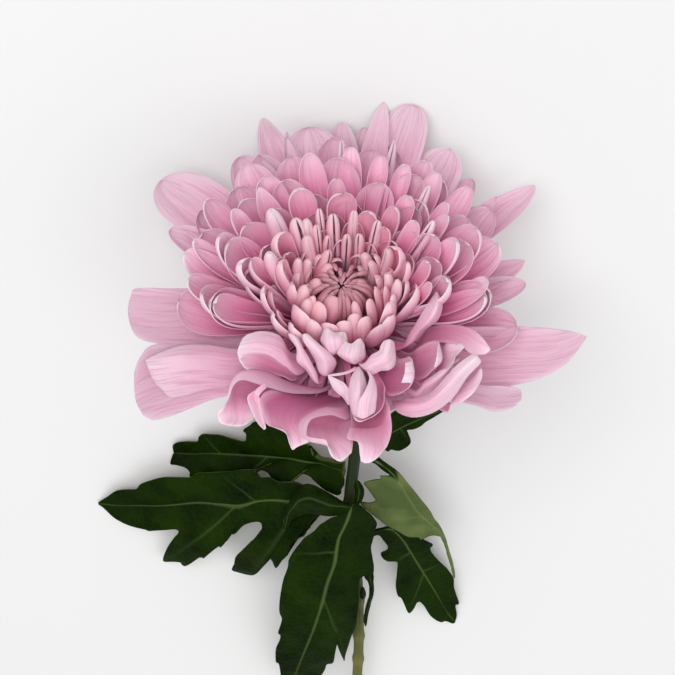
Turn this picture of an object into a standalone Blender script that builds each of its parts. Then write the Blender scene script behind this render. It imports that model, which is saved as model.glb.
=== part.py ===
"""A single disbud chrysanthemum bloom on its cut stem, lying on a table.

The bloom's ray florets follow a golden-angle spiral from the closed button to the broad outer
petals. Under it come a cup of green bracts, a ridged stem and six lobed leaves. Everything is
worked out in millimetres and written in metres, +Z up, with the table at Z = 0.
"""

import math

import bmesh
import bpy
import numpy as np

MM = 0.001

# The bloom's own frame: its foot in the world, and how far its axis leans from vertical to +Y.
BLOOM_FOOT = (5.0, 100.0, 42.0)
AXIS_LEAN = 63.0
# Brings the middle of the whole flower's footprint over the origin.
CENTRE_SHIFT = (1.6, -4.4, 0.0)

GOLDEN_ANGLE = 137.50776
RULE_FLORETS = 100
RULE_WIDTH = 0.85
SEED = 7
BLADE = 0.62
LEAF_BLADE = 0.7
JOINT_GAP = 0.3

# Floret measures from the centre (share 0) to the rim (share 1), mm and degrees.
SHARE = (0.00, 0.08, 0.16, 0.22, 0.32, 0.43, 0.55, 0.67, 0.79, 0.90, 1.00)
STATIONS = {
    "reach": (0.6, 2.0, 4.0, 8.0, 13.0, 18.0, 24.0, 31.0, 41.0, 50.0, 57.0),
    "height": (16.0, 16.3, 16.8, 19.0, 24.0, 28.0, 30.5, 32.5, 31.0, 24.0, 14.0),
    "rise": (95, 95, 94, 88, 76, 70, 66, 60, 50, 38, 24),
    "turn": (182, 176, 165, 110, 84, 78, 82, 92, 90, 74, 40),
    "width": (4.0, 4.6, 5.4, 7.5, 9.5, 10.5, 12.5, 15.0, 16.5, 17.5, 18.0),
    "roll": (140, 145, 150, 160, 168, 162, 140, 112, 85, 65, 48),
    "dip": (0.0, 0.0, 0.5, 3.0, 8.0, 12.5, 15.0, 17.0, 17.0, 15.0, 13.0),
}
FINGER_SHARE = 0.5

# The solid heart that the petals' narrow ends run into: (radius, height), and its tilt to the back.
CORE_PROFILE = (
    (12.5, 0.0), (13.5, 1.2), (22.0, 3.0), (28.0, 7.0), (32.0, 12.0), (30.0, 14.5), (22.0, 14.0),
    (12.0, 12.5), (7.5, 13.0), (3.0, 14.5),
)
CORE_TILT = 0.10
FRONT_CLEARED = (228.0, 312.0, 0.76)

# Petals seen one by one: azimuth, reach, height, width, rise, turn, roll, then what is special.
OUTER_PETALS = (
    (186, 65, 9, 19, 8, -12, 25, {"blunt": 4.0, "full": 2.8, "widest": 0.75}),
    (209, 66, -4, 24, 4, -24, 30, {"blunt": 3.0, "widest": 0.7}),
    (199, 62, 6, 19, 14, -14, 40, {"blunt": 3.0}),
    (142, 69, 18, 21, 26, 5, 32, {"blunt": 3.0, "widest": 0.72}),
    (158, 58, 15, 15, 26, 10, 45, {}),
    (131, 60, 22, 15, 32, 20, 45, {}),
    (112, 67, 26, 12, 42, 40, 45, {"blunt": 1.9, "full": 1.7, "tip": 0.15}),
    (106, 56, 31, 11, 48, 60, 70, {"blunt": 1.7, "full": 1.6, "twist": 30}),
    (103, 58, 27, 15.5, 42, 30, 35, {}),
    (90, 60, 27, 14, 42, 35, 50, {}),
    (78, 66, 32, 10, 42, 35, 45, {"blunt": 1.9, "full": 1.7, "tip": 0.15}),
    (70, 68, 31, 16, 42, 35, 30, {"blunt": 3.0, "full": 2.6, "widest": 0.72}),
    (55, 61, 24, 15, 35, 25, 38, {}),
    (45, 60, 18, 14, 28, 30, 45, {}),
    (34, 75, 16, 14.5, 25, 28, 40, {"blunt": 1.8, "full": 1.8, "tip": 0.15}),
    (16, 60, 8, 13, 15, 30, 45, {"blunt": 1.8, "full": 1.8, "tip": 0.15}),
    (8, 58, 6, 14, 10, 20, 45, {}),
    (-17, 75, 3, 22, 0, 14, 25,
     {"swing": 8, "blunt": 1.7, "full": 1.5, "widest": 0.5, "tip": 0.08}),
    (-31, 64, 1, 17, 4, -25, 35, {"blunt": 2.8}),
    (-137, 58, -5, 15, 5, -40, 55, {}),
    (-134, 44, 23, 18, 50, 10, 70, {}),
    (-135, 55, 5, 17, 32, -80, 50, {"swing": 7}),
    (-112, 55, 6, 18, 28, -50, 20, {"swing": 7, "blunt": 1.6, "full": 1.6}),
    (-90, 55.5, 3, 14, 26, -60, 60, {}),
    (-76, 55.5, 1, 18, 15, -60, 30, {"swing": -5}),
    (-80, 46, 6, 15, 40, -40, 110, {"twist": 40}),
    (-24, 49, 13, 16, 35, 5, 45, {}),
    (-39, 53, 11, 17, 40, 0, 75, {}),
    (-49, 55, 10, 17, 35, -15, 70, {}),
    (-60, 53, 9, 17, 35, -25, 60, {}),
    (-45, 42, 17, 15, 50, 20, 80, {}),
    (-68, 38, 12, 14, 50, -20, 80, {"twist": -25}),
    (-104, 40, 11, 14, 50, -30, 80, {"twist": 25}),
)

# The cup of bracts: its profile (radius, height), then rows of (count, root reach, tip reach, foot, top).
INVOLUCRE_PROFILE = ((3.4, -8.4), (5.6, -7.6), (9.6, -4.6), (12.0, -1.6), (12.2, -JOINT_GAP))
BRACT_ROWS = ((9, 4.2, 11.6, -7.6, -4.0), (12, 7.6, 13.6, -5.6, -1.4))
BRACT_BLADE = 0.8

# Stem centreline in the world with the radius at each point, from the bloom down to the cut.
STEM_PATH = (
    (5.0, 91.6, 37.8, 3.3),
    (7.2, 78.0, 32.2, 2.6),
    (9.4, 62.0, 28.2, 2.1),
    (9.4, 44.0, 25.0, 1.9),
    (7.9, 24.0, 21.6, 1.9),
    (9.6, 4.0, 18.6, 1.8),
    (11.2, -20.0, 15.4, 1.75),
    (11.3, -48.0, 11.4, 1.75),
    (9.6, -80.0, 6.8, 1.8),
    (7.2, -106.0, 3.2, 1.9),
    (5.4, -122.0, 2.05, 2.0),
    (2.6, -148.0, 2.0, 2.1),
)
STEM_NODES = (0.29, 0.37, 0.47, 0.60, 0.66, 0.79, 0.93)
STEM_SIDES = 12
STEM_RINGS = 42
LEAF_STEP = 0.024
SEEN_FROM = (3.65, 264.2, 442.7)
SEEN_STEEP = 67.0
SEEN_DEPTH = 506.0

# Leaves, laid out as they are seen from SEEN_FROM on a plane SEEN_DEPTH away, in mm. The midrib's
# points are (right, up, height over the table). Each margin's points are (percent of the midrib
# where their side vein starts, right, up).
LEAVES = {
    "leaf_left": dict(
        midrib=((0.6, -59.9, 21), (-7.9, -59.5, 19.5), (-17.5, -58.9, 17), (-27.1, -58.9, 14.6),
                (-34.9, -60.6, 12.6), (-41.5, -60.2, 11), (-49.9, -59.6, 9.2), (-62.4, -60.6, 6),
                (-71.4, -60.6, 3.6), (-80.4, -60.5, 1.4), (-86.4, -59.8, 0.4)),
        upper=((0, -0.1, -59), (4, -5.5, -57), (6.5, -10, -54.4), (9, -15.1, -52.4),
               (12, -18.1, -52.4), (15, -21.7, -52), (18, -24.7, -50.5), (20.5, -27.7, -50.5),
               (23, -30.1, -48.1), (25, -32.5, -47.7), (29, -37.3, -48.2), (33, -42.7, -48.7),
               (42, -50.5, -49), (46, -53.2, -50.5), (51, -57.7, -50.5), (58, -63.6, -50.6),
               (65, -68.4, -52), (69, -71.4, -53.2), (72, -72.9, -54.8), (79, -77.4, -55),
               (85, -80.4, -55.6), (92, -83.4, -57.7), (100, -86.4, -59.5)),
        lower=((0, 0.5, -60.6), (1, -3.1, -60.9), (2.5, -7.3, -63.3), (4, -10, -66.3),
               (5.2, -12.1, -69.9), (6.4, -13.8, -72.3), (7.6, -16, -74.4), (8.4, -18.1, -77.1),
               (9.4, -20.5, -81.3), (10.4, -22.3, -83), (11.4, -23.8, -80.1), (12.2, -25, -80.1),
               (13, -27.1, -83.1), (14, -29.5, -85.5), (15, -31.9, -85.8), (16, -35.5, -84.9),
               (17, -38.2, -84), (18, -37.3, -81.9), (19, -36.7, -79.2), (20.5, -31.9, -74.7),
               (22.5, -28.9, -71.7), (24.5, -27.4, -69.6), (27, -27.5, -67.2), (30, -28.9, -66.5),
               (31.5, -31.9, -66.9), (32.5, -34.3, -68.1), (33.5, -37, -71), (34.2, -38.5, -71.1),
               (35.2, -41.8, -75.6), (36, -43.3, -75.6), (37, -48.1, -79.6), (37.8, -49.6, -79.2),
               (38.7, -53.5, -81.9), (39.4, -55.6, -82.5), (40, -56.8, -81.1), (40.7, -59.5, -81),
               (41.8, -63, -80.7), (44, -61.8, -76.5), (47, -59.5, -72.9), (50, -57.5, -70.5),
               (52, -58.3, -69.3), (58, -62.4, -69.5), (65, -67.8, -69.9), (68, -69.6, -69.3),
               (78, -75.6, -67.8), (87, -79.8, -65.7), (94, -82.8, -63.3), (100, -86.4, -60)),
        fold=0.10, droop=0.008),
    "leaf_rear_left": dict(
        midrib=((2.2, -47.4, 22.4), (-3.1, -46, 19.4), (-11.5, -44.8, 14), (-23.5, -43, 9),
                (-35.5, -42.2, 5.6), (-46.3, -41.8, 3.2), (-52.3, -42, 1.8), (-59.1, -41.5, 0.4)),
        upper=((0, 2.4, -45), (2, 0.6, -45.4), (4, -3, -44.3), (6.5, -6, -43.8), (9, -8.8, -42),
               (11.5, -10.3, -39), (15, -13.9, -38), (20, -18.7, -34.6), (25, -23.5, -32.2),
               (31, -29.5, -30.4), (36, -31.9, -31.9), (40, -34, -33.4), (43, -33.1, -34.6),
               (46, -33.2, -37), (50, -34.3, -37.5), (56, -38.5, -36.4), (62, -42.4, -35.3),
               (68, -45.1, -35.1), (73, -48.7, -34.9), (77, -50.2, -36.1), (80, -50.8, -37.7),
               (86, -54.7, -37.5), (91, -57.7, -37.9), (96, -59.5, -39.1), (100, -59.1, -41.3)),
        lower=((0, 2.2, -51), (1, 1.2, -56), (3, -1.2, -56), (5.5, -4.5, -54.6), (7.5, -6.3, -53.4),
               (10, -8.5, -51.6), (12, -9.6, -50.4), (14, -11.3, -49.6), (16, -13.1, -49.4),
               (18, -15.1, -50.8), (21, -18.7, -53.8), (25, -22.3, -52.9), (30, -25.3, -48.7),
               (35, -29.5, -47.9), (39, -31.9, -49.9), (43, -35.5, -53.8), (48, -40.3, -54.4),
               (54, -43.9, -52.6), (60, -47.5, -53.2), (66, -51.1, -52.6), (72, -53.2, -50.5),
               (78, -53.5, -48.4), (84, -55.3, -46.9), (92, -58.3, -46), (97, -60.3, -45.5),
               (100, -59.1, -41.7)),
        fold=0.06, droop=0.004),
    "leaf_front": dict(
        midrib=((5.8, -60.4, 26.6), (4.2, -64.4, 28.6), (2.4, -68.2, 29.5), (0.4, -72.8, 29.8),
                (-1.1, -81.9, 29.4), (-3.7, -89, 28), (-5.4, -95.6, 26.4), (-8.2, -104.2, 23.6),
                (-11.3, -111.8, 20.4), (-15.1, -121, 15.6), (-17.6, -129.1, 10.6)),
        upper=((0, 4.2, -59.9), (3, 0.4, -64.2), (5.5, -3.7, -66.2), (8, -6.2, -67.7),
               (11, -8.7, -70.3), (13.5, -11.8, -72.3), (16.5, -14.3, -75.3), (19, -16.3, -77.9),
               (22, -17.6, -80.4), (25, -17.9, -82.9), (29.5, -19.4, -87), (35, -20.4, -91.6),
               (40, -20.9, -95.6), (45, -20.9, -99.2), (49, -20.1, -101.4), (52, -20.4, -103.2),
               (56, -21.4, -106.5), (58.5, -20.6, -107.5), (61, -20.9, -109.3), (65, -22.2, -112.3),
               (72, -22.3, -116.9), (75, -21.2, -117.9), (82, -20.6, -121.7), (88, -20.4, -124.5),
               (94, -19.4, -127.3), (100, -18, -129.1)),
        lower=((0, 7, -60), (1.5, 8.4, -60.8), (3, 10.7, -62.8), (5, 13.8, -66.2), (8, 13.4, -69.2),
               (12, 12.6, -73.3), (14.5, 12.1, -75.8), (18, 12.6, -79.4), (21, 13.1, -82.9),
               (23, 12.6, -85.5), (25, 9.5, -86.2), (27, 8.1, -87), (30, 7.5, -90), (32, 7.6, -93.6),
               (34, 7.5, -97.1), (35.5, 7, -100.7), (37, 6.5, -104.2), (38.5, 5, -107.8),
               (40, 3.9, -111.3), (41, 2.9, -114.4), (42.3, 2.2, -116.9), (44, 2, -113.9),
               (45.5, 1.4, -110.3), (47.5, 0.7, -108.4), (52, -0.2, -110.8), (60, -0.9, -114.4),
               (68, -1.6, -117.4), (74, -3.8, -118), (79, -4.6, -119.9), (84, -5.7, -121.7),
               (90, -8.2, -124.5), (96, -13.3, -127.8), (100, -17.3, -129.1)),
        fold=-0.10, droop=0.006),
    "leaf_right": dict(
        midrib=((9, -41.5, 25.6), (11.5, -43, 25.6), (14.7, -45, 25.4), (18.6, -48, 25.2),
                (21.5, -51.2, 25), (24, -55, 24.6), (26.2, -58.8, 24.2), (28.4, -62, 23.4),
                (31, -64.8, 22.4), (33.6, -67.2, 21.4), (36.6, -69.7, 20.4), (38.6, -73.2, 18.8),
                (40, -77.5, 16.8), (41.3, -82.2, 14.4), (42.2, -87, 12)),
        upper=((0, 9.2, -40.9), (6, 12.2, -42), (12, 15.4, -44.1), (18, 18.5, -46), (25, 22.6, -49.4),
               (31, 26.4, -53.9), (37, 29.8, -58.1), (44, 32.8, -61.6), (53, 34.9, -65.2),
               (61, 36.3, -67.2), (68, 37.5, -69.3), (75, 39.2, -73.2), (83, 40.4, -77.5),
               (91, 41.7, -82.1), (100, 42.4, -87)),
        lower=((0, 8.8, -42.1), (6, 11.2, -43.7), (12, 14, -45.9), (18, 16.8, -48.1),
               (23, 18.8, -49.9), (25, 15.5, -49.9), (26.5, 15.8, -51.1), (28.5, 13.3, -51.4),
               (31, 9.6, -52.5), (33.5, 11, -54.4), (38, 13.5, -58.2), (40, 13.4, -59.4),
               (42, 11.2, -59.9), (44, 8.3, -59.5), (45.5, 9.7, -61.5), (48.5, 14.5, -65.3),
               (50.5, 17.6, -67.7), (53.5, 20.7, -69.3), (56.5, 23.7, -71), (59, 25.7, -71.8),
               (62, 29.3, -72.1), (63, 29.9, -73.1), (64, 30.8, -72), (66, 33.3, -71.1),
               (69, 36, -70), (75, 38.1, -73.4), (83, 39.6, -77.9), (91.5, 41, -82.3),
               (100, 42, -86.7)),
        fold=0.03, droop=0.008),
    "leaf_lower_right": dict(
        midrib=((8.3, -69.2, 19.2), (11.5, -70.4, 18.6), (14.6, -70, 18), (17.1, -69.2, 17.4),
                (20.2, -69.8, 16.6), (23.7, -73.3, 14.4), (27.3, -78.9, 11.4), (30.8, -84.5, 8.4),
                (34.1, -90, 5.8), (37.1, -95.1, 3.6), (39.9, -99.7, 1.6), (42.4, -102.8, 0.4)),
        upper=((0, 8.3, -68.5), (6, 11.5, -69.5), (12, 15.1, -69), (18, 17.6, -68.2),
               (23, 20.7, -68.2), (28, 24.7, -70.3), (33, 28.8, -71.8), (38, 32.8, -73.8),
               (42, 34.4, -74.8), (45, 33.5, -76.1), (49, 34.5, -78.4), (55, 37.4, -81.4),
               (61, 39.9, -83.9), (67, 41.9, -87), (73, 42.1, -90), (79, 43, -93.1),
               (85, 43.9, -96.1), (88, 42.7, -96.7), (94, 43.1, -100.2), (100, 42.5, -102.7)),
        lower=((0, 8.3, -70), (6, 11.5, -71.2), (12, 14.6, -71), (20, 16.6, -73.3), (25, 18.1, -75.3),
               (29, 17.9, -76.8), (33.1, 15.7, -77.9), (35, 16.4, -79.6), (36.5, 18.1, -80.7),
               (38, 21.2, -80.9), (39, 21.7, -81.9), (42, 21.4, -86), (46, 21.1, -90),
               (49, 21.7, -93.1), (51.5, 23, -94.1), (54, 24.2, -96.6), (56.5, 25.7, -99.4),
               (59, 27.3, -98.1), (62, 28.5, -95.9), (65.5, 29.8, -95.5), (69, 31.3, -97.1),
               (74, 33.3, -100.2), (79, 35.4, -101.9), (85, 37.4, -102.8), (90, 38.9, -102.5),
               (96, 41.4, -103.3), (100, 42.3, -103)),
        fold=0.05, droop=0.004),
    "leaf_rear_right": dict(
        midrib=((9.1, -37.7, 25.4), (14.4, -36, 22), (20, -34, 18.4), (26, -31, 14.6),
                (32, -28.5, 11.4), (38, -26, 8.6), (41.4, -24.4, 7)),
        upper=((0, 9.1, -37), (12, 14, -33), (25, 18, -29), (38, 22, -26), (45, 24, -28),
               (56, 29, -24), (70, 33, -22), (80, 36, -24), (90, 39, -23.5), (100, 41.5, -24.1)),
        lower=((0, 9.1, -38.5), (12, 14, -38.5), (20, 17, -40.5), (25, 18.3, -41.2),
               (28, 19.3, -40.5), (33, 22.1, -40.8), (38, 24.8, -39.6), (42, 26.3, -38),
               (46, 25.9, -36), (50, 24.9, -33.7), (56, 27.3, -33.2), (64, 29.8, -32),
               (71, 32.1, -30.1), (81, 35.8, -28.3), (90, 38.5, -26.6), (100, 41.2, -24.7)),
        fold=0.05, droop=0.006),
}

# The front leaf's lowest lobe curls over the leaf at its left: rows from the leaf to the lobe's tip.
CURLED_LOBE = (
    ((5.6, -59.8, 26.6), (5.0, -61.6, 27.8), (4.4, -64.2, 28.4)),
    ((2.1, -59.4, 27.6), (2.4, -61.0, 29.0), (1.6, -64.2, 28.2)),
    ((-1.6, -57.1, 27.0), (-2.2, -60.6, 29.2), (-3.2, -64.4, 26.8)),
    ((-5.7, -54.7, 25.8), (-6.7, -59.1, 28.4), (-7.7, -63.8, 25.2)),
    ((-9.8, -53.0, 24.6), (-10.2, -58.0, 27.4), (-11.0, -63.6, 24.4)),
    ((-13.3, -53.6, 23.4), (-13.6, -58.8, 26.0), (-12.8, -64.0, 23.6)),
    ((-15.8, -57.1, 22.6), (-15.8, -61.2, 24.4), (-15.1, -65.0, 22.8)),
    ((-17.9, -60.6, 21.8), (-17.6, -63.7, 23.0), (-16.6, -66.0, 22.2)),
    ((-19.3, -65.8, 21.0), (-18.4, -66.8, 21.4), (-17.5, -67.4, 21.2)),
    ((-19.6, -68.8, 20.4), (-19.0, -69.1, 20.5), (-18.3, -69.2, 20.4)),
)

COLOURS = {
    "bloom": ("petal_mauve_pink", (0.62, 0.26, 0.42), 0.55),
    "involucre": ("bract_green", (0.07, 0.13, 0.03), 0.6),
    "stem": ("stem_green", (0.10, 0.15, 0.04), 0.55),
    "leaf": ("leaf_dark_green", (0.02, 0.06, 0.01), 0.55),
}


def bloom_to_world(points):
    """The bloom's frame set into the world: its X is the world's, its Z leans towards +Y."""
    lean = math.radians(AXIS_LEAN)
    axes = np.array([
        [1.0, 0.0, 0.0],
        [0.0, math.cos(lean), -math.sin(lean)],
        [0.0, math.sin(lean), math.cos(lean)],
    ])
    return points @ axes + np.array(BLOOM_FOOT)


def unit(vectors):
    return vectors / np.maximum(np.linalg.norm(vectors, axis=-1, keepdims=True), 1e-9)


def around(degrees, radius, height):
    """Points at these angles about the bloom's axis."""
    a = np.radians(degrees)
    return np.stack([radius * np.cos(a), radius * np.sin(a), height * np.ones_like(a)], axis=-1)


def even_path(points, places, smooth=200):
    """A smooth curve through the points, sampled at these shares of its length, with tangents."""
    points = np.asarray(points, float)
    padded = np.vstack([2 * points[0] - points[1], points, 2 * points[-1] - points[-2]])
    t = np.linspace(0, len(points) - 1, smooth)
    k = np.minimum(t.astype(int), len(points) - 2)
    f = (t - k)[:, None]
    a, b, c, d = (padded[k + i] for i in range(4))
    curve = 0.5 * (2 * b + (c - a) * f + (2 * a - 5 * b + 4 * c - d) * f ** 2
                   + (3 * b - a - 3 * c + d) * f ** 3)
    run = np.concatenate([[0.0], np.cumsum(np.linalg.norm(np.diff(curve[:, :3], axis=0), axis=1))])
    at = np.asarray(places) * run[-1]
    out = np.stack([np.interp(at, run, column) for column in curve.T], axis=1)
    slope = np.stack([np.interp(at, run, np.gradient(column, run)) for column in curve[:, :3].T], axis=1)
    return out, unit(slope)


def centreline(floret, places):
    """Middle points, direction, sideways and inner-face directions of a floret at these shares."""
    angle, swing = floret["azimuth"], floret["swing"]
    root = around(angle, floret["root_reach"], floret["root_height"])
    tip = around(angle + swing, floret["reach"], floret["height"])
    span = np.linalg.norm(tip - root)
    rise, turn = math.radians(floret["rise"]), math.radians(floret["turn"])
    up = np.array([0.0, 0.0, 1.0])
    leave = around(angle, 1.0, 0.0) * math.cos(rise) + up * math.sin(rise)
    arrive = around(angle + swing, 1.0, 0.0) * math.cos(turn) + up * math.sin(turn)
    first, second = root + 0.38 * span * leave, tip - 0.32 * span * arrive
    t = np.linspace(0, 1, 80)[:, None]
    path = ((1 - t) ** 3 * root + 3 * (1 - t) ** 2 * t * first
            + 3 * (1 - t) * t ** 2 * second + t ** 3 * tip)
    run = np.concatenate([[0.0], np.cumsum(np.linalg.norm(np.diff(path, axis=0), axis=1))])
    at = places * run[-1]
    middle = np.stack([np.interp(at, run, column) for column in path.T], axis=1)
    along = unit(np.stack([np.interp(at, run, np.gradient(column, run)) for column in path.T], axis=1))
    side = around(angle + 90 + swing * places, 1.0, 0.0)
    side = unit(side - (side * along).sum(axis=1)[:, None] * along)
    face = np.cross(along, side)
    turned = np.radians(floret["twist"]) * places[:, None] ** 1.5
    return (middle, along, side * np.cos(turned) + face * np.sin(turned),
            face * np.cos(turned) - side * np.sin(turned))


def half_widths(floret, places):
    """Half the width of the flattened petal before and after its rounded end."""
    widest = floret["widest"]
    beyond = np.clip((places - widest) / (1 - widest), 0, 1)
    end = np.maximum(1 - beyond ** floret["blunt"], 0) ** (1 / floret["full"])
    grown = 0.38 + 0.62 * np.sin(np.clip(places / widest, 0, 1) * math.pi / 2) ** 1.3
    return 0.5 * floret["width"] * grown, end


def petal_sheet(floret, rows, columns):
    """Middle surface of a cupped petal: an arc across the centreline, raised like a boat's end."""
    places = 1 - (1 - np.linspace(0, 1, rows + 1)) ** 1.4
    middle, _, side, face = centreline(floret, places)
    wide, end = half_widths(floret, places)
    half = wide * np.maximum(end, floret["tip"])
    roll = np.radians(np.interp(places, (0, 0.35, 0.7, 1), floret["rolls"]))[:, None]
    across = np.linspace(-1, 1, columns + 1)[None, :]
    sideways = half[:, None] * np.sin(roll * across) / roll
    raised = half[:, None] * (1 - np.cos(roll * across)) / roll
    boat = 0.8 * ((1 - np.cos(roll)) / roll) * (wide - half)[:, None]
    inward = raised + boat
    return (middle[:, None, :] + sideways[..., None] * side[:, None, :]
            + inward[..., None] * face[:, None, :])


def normals_of(sheet):
    return unit(np.cross(np.gradient(sheet, axis=0), np.gradient(sheet, axis=1)))


def rest_on_table(points, clearance):
    """Presses what would go through the table flat against it."""
    points[..., 2] = np.maximum(points[..., 2], clearance)
    return points


def sheet_solid(name, sheet, thickness):
    """Closes a grid of middle points into a blade, both faces split along the same diagonals."""
    normals = normals_of(sheet)
    half = 0.5 * np.broadcast_to(thickness, sheet.shape[:2])[..., None]
    rows, columns = sheet.shape[0] - 1, sheet.shape[1] - 1
    points = rest_on_table(np.concatenate([(sheet + half * normals).reshape(-1, 3),
                                           (sheet - half * normals).reshape(-1, 3)]), 0.0)
    count = (rows + 1) * (columns + 1)
    index = np.arange(count).reshape(rows + 1, columns + 1)
    a, b, c, d = index[:-1, :-1], index[:-1, 1:], index[1:, 1:], index[1:, :-1]
    upper = np.concatenate([np.stack([a, d, c], -1).reshape(-1, 3),
                            np.stack([a, c, b], -1).reshape(-1, 3)])
    ring = np.concatenate([index[0, :], index[1:, -1], index[-1, -2::-1], index[-2:0:-1, 0]])
    after = np.roll(ring, -1)
    rim = np.concatenate([np.stack([ring, after, after + count], -1),
                          np.stack([ring, after + count, ring + count], -1)])
    return solid(name, points, np.concatenate([upper[:, ::-1], upper + count, rim[:, ::-1]]))


def rings_solid(name, rings):
    """Closes a run of rings into a capped tube."""
    turns, sides = rings.shape[:2]
    index = np.arange(turns * sides).reshape(turns, sides)
    a, b = index[:-1], index[1:]
    a2, b2 = np.roll(a, -1, axis=1), np.roll(b, -1, axis=1)
    walls = np.concatenate([np.stack([a, a2, b2], -1).reshape(-1, 3),
                            np.stack([a, b2, b], -1).reshape(-1, 3)])
    fan = np.arange(1, sides - 1)
    first = np.stack([np.zeros_like(fan), fan + 1, fan], -1)
    last = np.stack([np.zeros_like(fan), fan, fan + 1], -1) + (turns - 1) * sides
    return solid(name, rings.reshape(-1, 3), np.concatenate([walls, first, last]))


def solid(name, points, triangles):
    """A mesh object from points in millimetres, its faces turned outwards."""
    a, b, c = (points[triangles[:, i]] for i in range(3))
    if np.einsum("ij,ij->i", a, np.cross(b, c)).sum() < 0:
        triangles = triangles[:, ::-1]
    mesh = bpy.data.meshes.new(name)
    mesh.from_pydata(((points + CENTRE_SHIFT) * MM).tolist(), [], triangles.tolist())
    mesh.update()
    made = bpy.data.objects.new(name, mesh)
    bpy.context.scene.collection.objects.link(made)
    return made


def finger_solid(name, floret, rings, sides):
    """A closed quill: a narrow tube with a rounded end."""
    places = np.linspace(0, 1, rings + 1) ** 0.8
    middle, _, side, face = centreline(floret, places)
    wide, end = half_widths(floret, places)
    radius = np.maximum(wide * np.maximum(end, 0.45) / math.radians(floret["rolls"][2]), 0.4)[:, None, None]
    turn = (np.arange(sides) / sides * 2 * math.pi)[None, :, None]
    centre = (middle + face * radius[:, :, 0])[:, None, :]
    rings_at = centre + radius * (np.cos(turn) * side[:, None, :] + np.sin(turn) * face[:, None, :])
    return rings_solid(name, rest_on_table(bloom_to_world(rings_at), 0.0))


def floret_from(**values):
    """A floret's measures, with the usual ones filled in."""
    floret = {"swing": 0.0, "twist": 0.0, "widest": 0.62, "blunt": 2.2, "full": 2.0, "tip": 0.3,
              "root_reach": 11.0, "root_height": 1.0}
    floret.update(values)
    return floret


def spiral_florets():
    """The florets that follow the spiral, centre first; those at the back reach the table."""
    chance = np.random.default_rng(SEED)
    florets = []
    for number in range(RULE_FLORETS):
        share = (number + 0.5) / RULE_FLORETS
        base = {key: float(np.interp(share, SHARE, row)) for key, row in STATIONS.items()}
        wander = chance.uniform(-1, 1, 9)
        azimuth = (number * GOLDEN_ANGLE + 5 * wander[0] * (0.3 + share)) % 360
        back = math.sin(math.radians(azimuth))
        lift = 14.0 * np.clip((share - 0.7) / 0.3, 0, 1) * max(0.0, back) ** 1.5
        dip = base["dip"] * max(0.0, -back)
        roll = base["roll"] * (1 + 0.15 * wander[1])
        lean_in = 1.6 * dip if share < 0.7 else 0.0
        floret = floret_from(
            rule=True, share=share, azimuth=azimuth, swing=6 * wander[2] * (0.2 + share),
            root_reach=2.0 + 9.5 * share ** 0.4, root_height=10.0 * (1 - share ** 1.2) + 1.0,
            reach=base["reach"] * (1 + 0.05 * wander[3]) - 0.25 * dip,
            height=base["height"] + 1.8 * wander[4] * (0.3 + share) + lift - dip,
            rise=base["rise"] + 5 * wander[5] + 0.8 * lift,
            turn=base["turn"] + 12 * wander[6] + 0.6 * lift + lean_in,
            width=base["width"] * (RULE_WIDTH + 0.1 * wander[7]), widest=0.68,
            twist=14 * wander[8] * (0.3 + share), rolls=(130, 0.5 * (115 + roll), roll, roll))
        cleared = FRONT_CLEARED[0] < azimuth < FRONT_CLEARED[1] and share > FRONT_CLEARED[2]
        if not cleared:
            florets.append(floret)
    return florets


def outer_florets():
    """The petals placed one by one round the rim and across the front."""
    florets = []
    for azimuth, reach, height, width, rise, turn, roll, special in OUTER_PETALS:
        florets.append(floret_from(share=1.0, azimuth=azimuth, reach=reach, height=height, width=width,
                                   rise=rise, turn=turn, rolls=(80, 1.2 * roll, roll, roll), **special))
    return florets


def turned_solid(name, profile, sides, tilt=0.0):
    """A solid of revolution about the bloom's axis from (radius, height) pairs, bottom first."""
    angles = np.arange(sides) / sides * 360
    rings = np.stack([around(angles, radius, height) for radius, height in profile])
    rings[..., 2] += tilt * rings[..., 1] * np.clip(rings[..., 2] / 10.0, 0, 1)
    return rings_solid(name, bloom_to_world(rings))


def fused(base, others):
    """One union of the base with every other object, which are then removed."""
    group = bpy.data.collections.new(base.name + "_pieces")
    bpy.context.scene.collection.children.link(group)
    for piece in others:
        bpy.context.scene.collection.objects.unlink(piece)
        group.objects.link(piece)
    union = base.modifiers.new("union", "BOOLEAN")
    union.operation = "UNION"
    union.operand_type = "COLLECTION"
    union.collection = group
    union.solver = "MANIFOLD"
    mesh = bpy.data.meshes.new_from_object(base.evaluated_get(bpy.context.evaluated_depsgraph_get()))
    base.modifiers.clear()
    base.data = mesh
    for piece in list(group.objects):
        bpy.data.objects.remove(piece, do_unlink=True)
    bpy.data.collections.remove(group)
    return base


def one_body(node):
    """Keeps the outer skin: sealed hollows are filled and loose scraps dropped."""
    shape = bmesh.new()
    shape.from_mesh(node.data)
    shape.faces.ensure_lookup_table()
    left, skins = set(shape.faces), []
    while left:
        skin, edge = [], [left.pop()]
        while edge:
            face = edge.pop()
            skin.append(face)
            for side in face.edges:
                for near in side.link_faces:
                    if near in left:
                        left.remove(near)
                        edge.append(near)
        skins.append(skin)
    skins.sort(key=len)
    spare = [face for skin in skins[:-1] for face in skin]
    bmesh.ops.delete(shape, geom=spare, context="FACES")
    bmesh.ops.triangulate(shape, faces=shape.faces[:])
    shape.to_mesh(node.data)
    shape.free()
    return node


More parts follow.
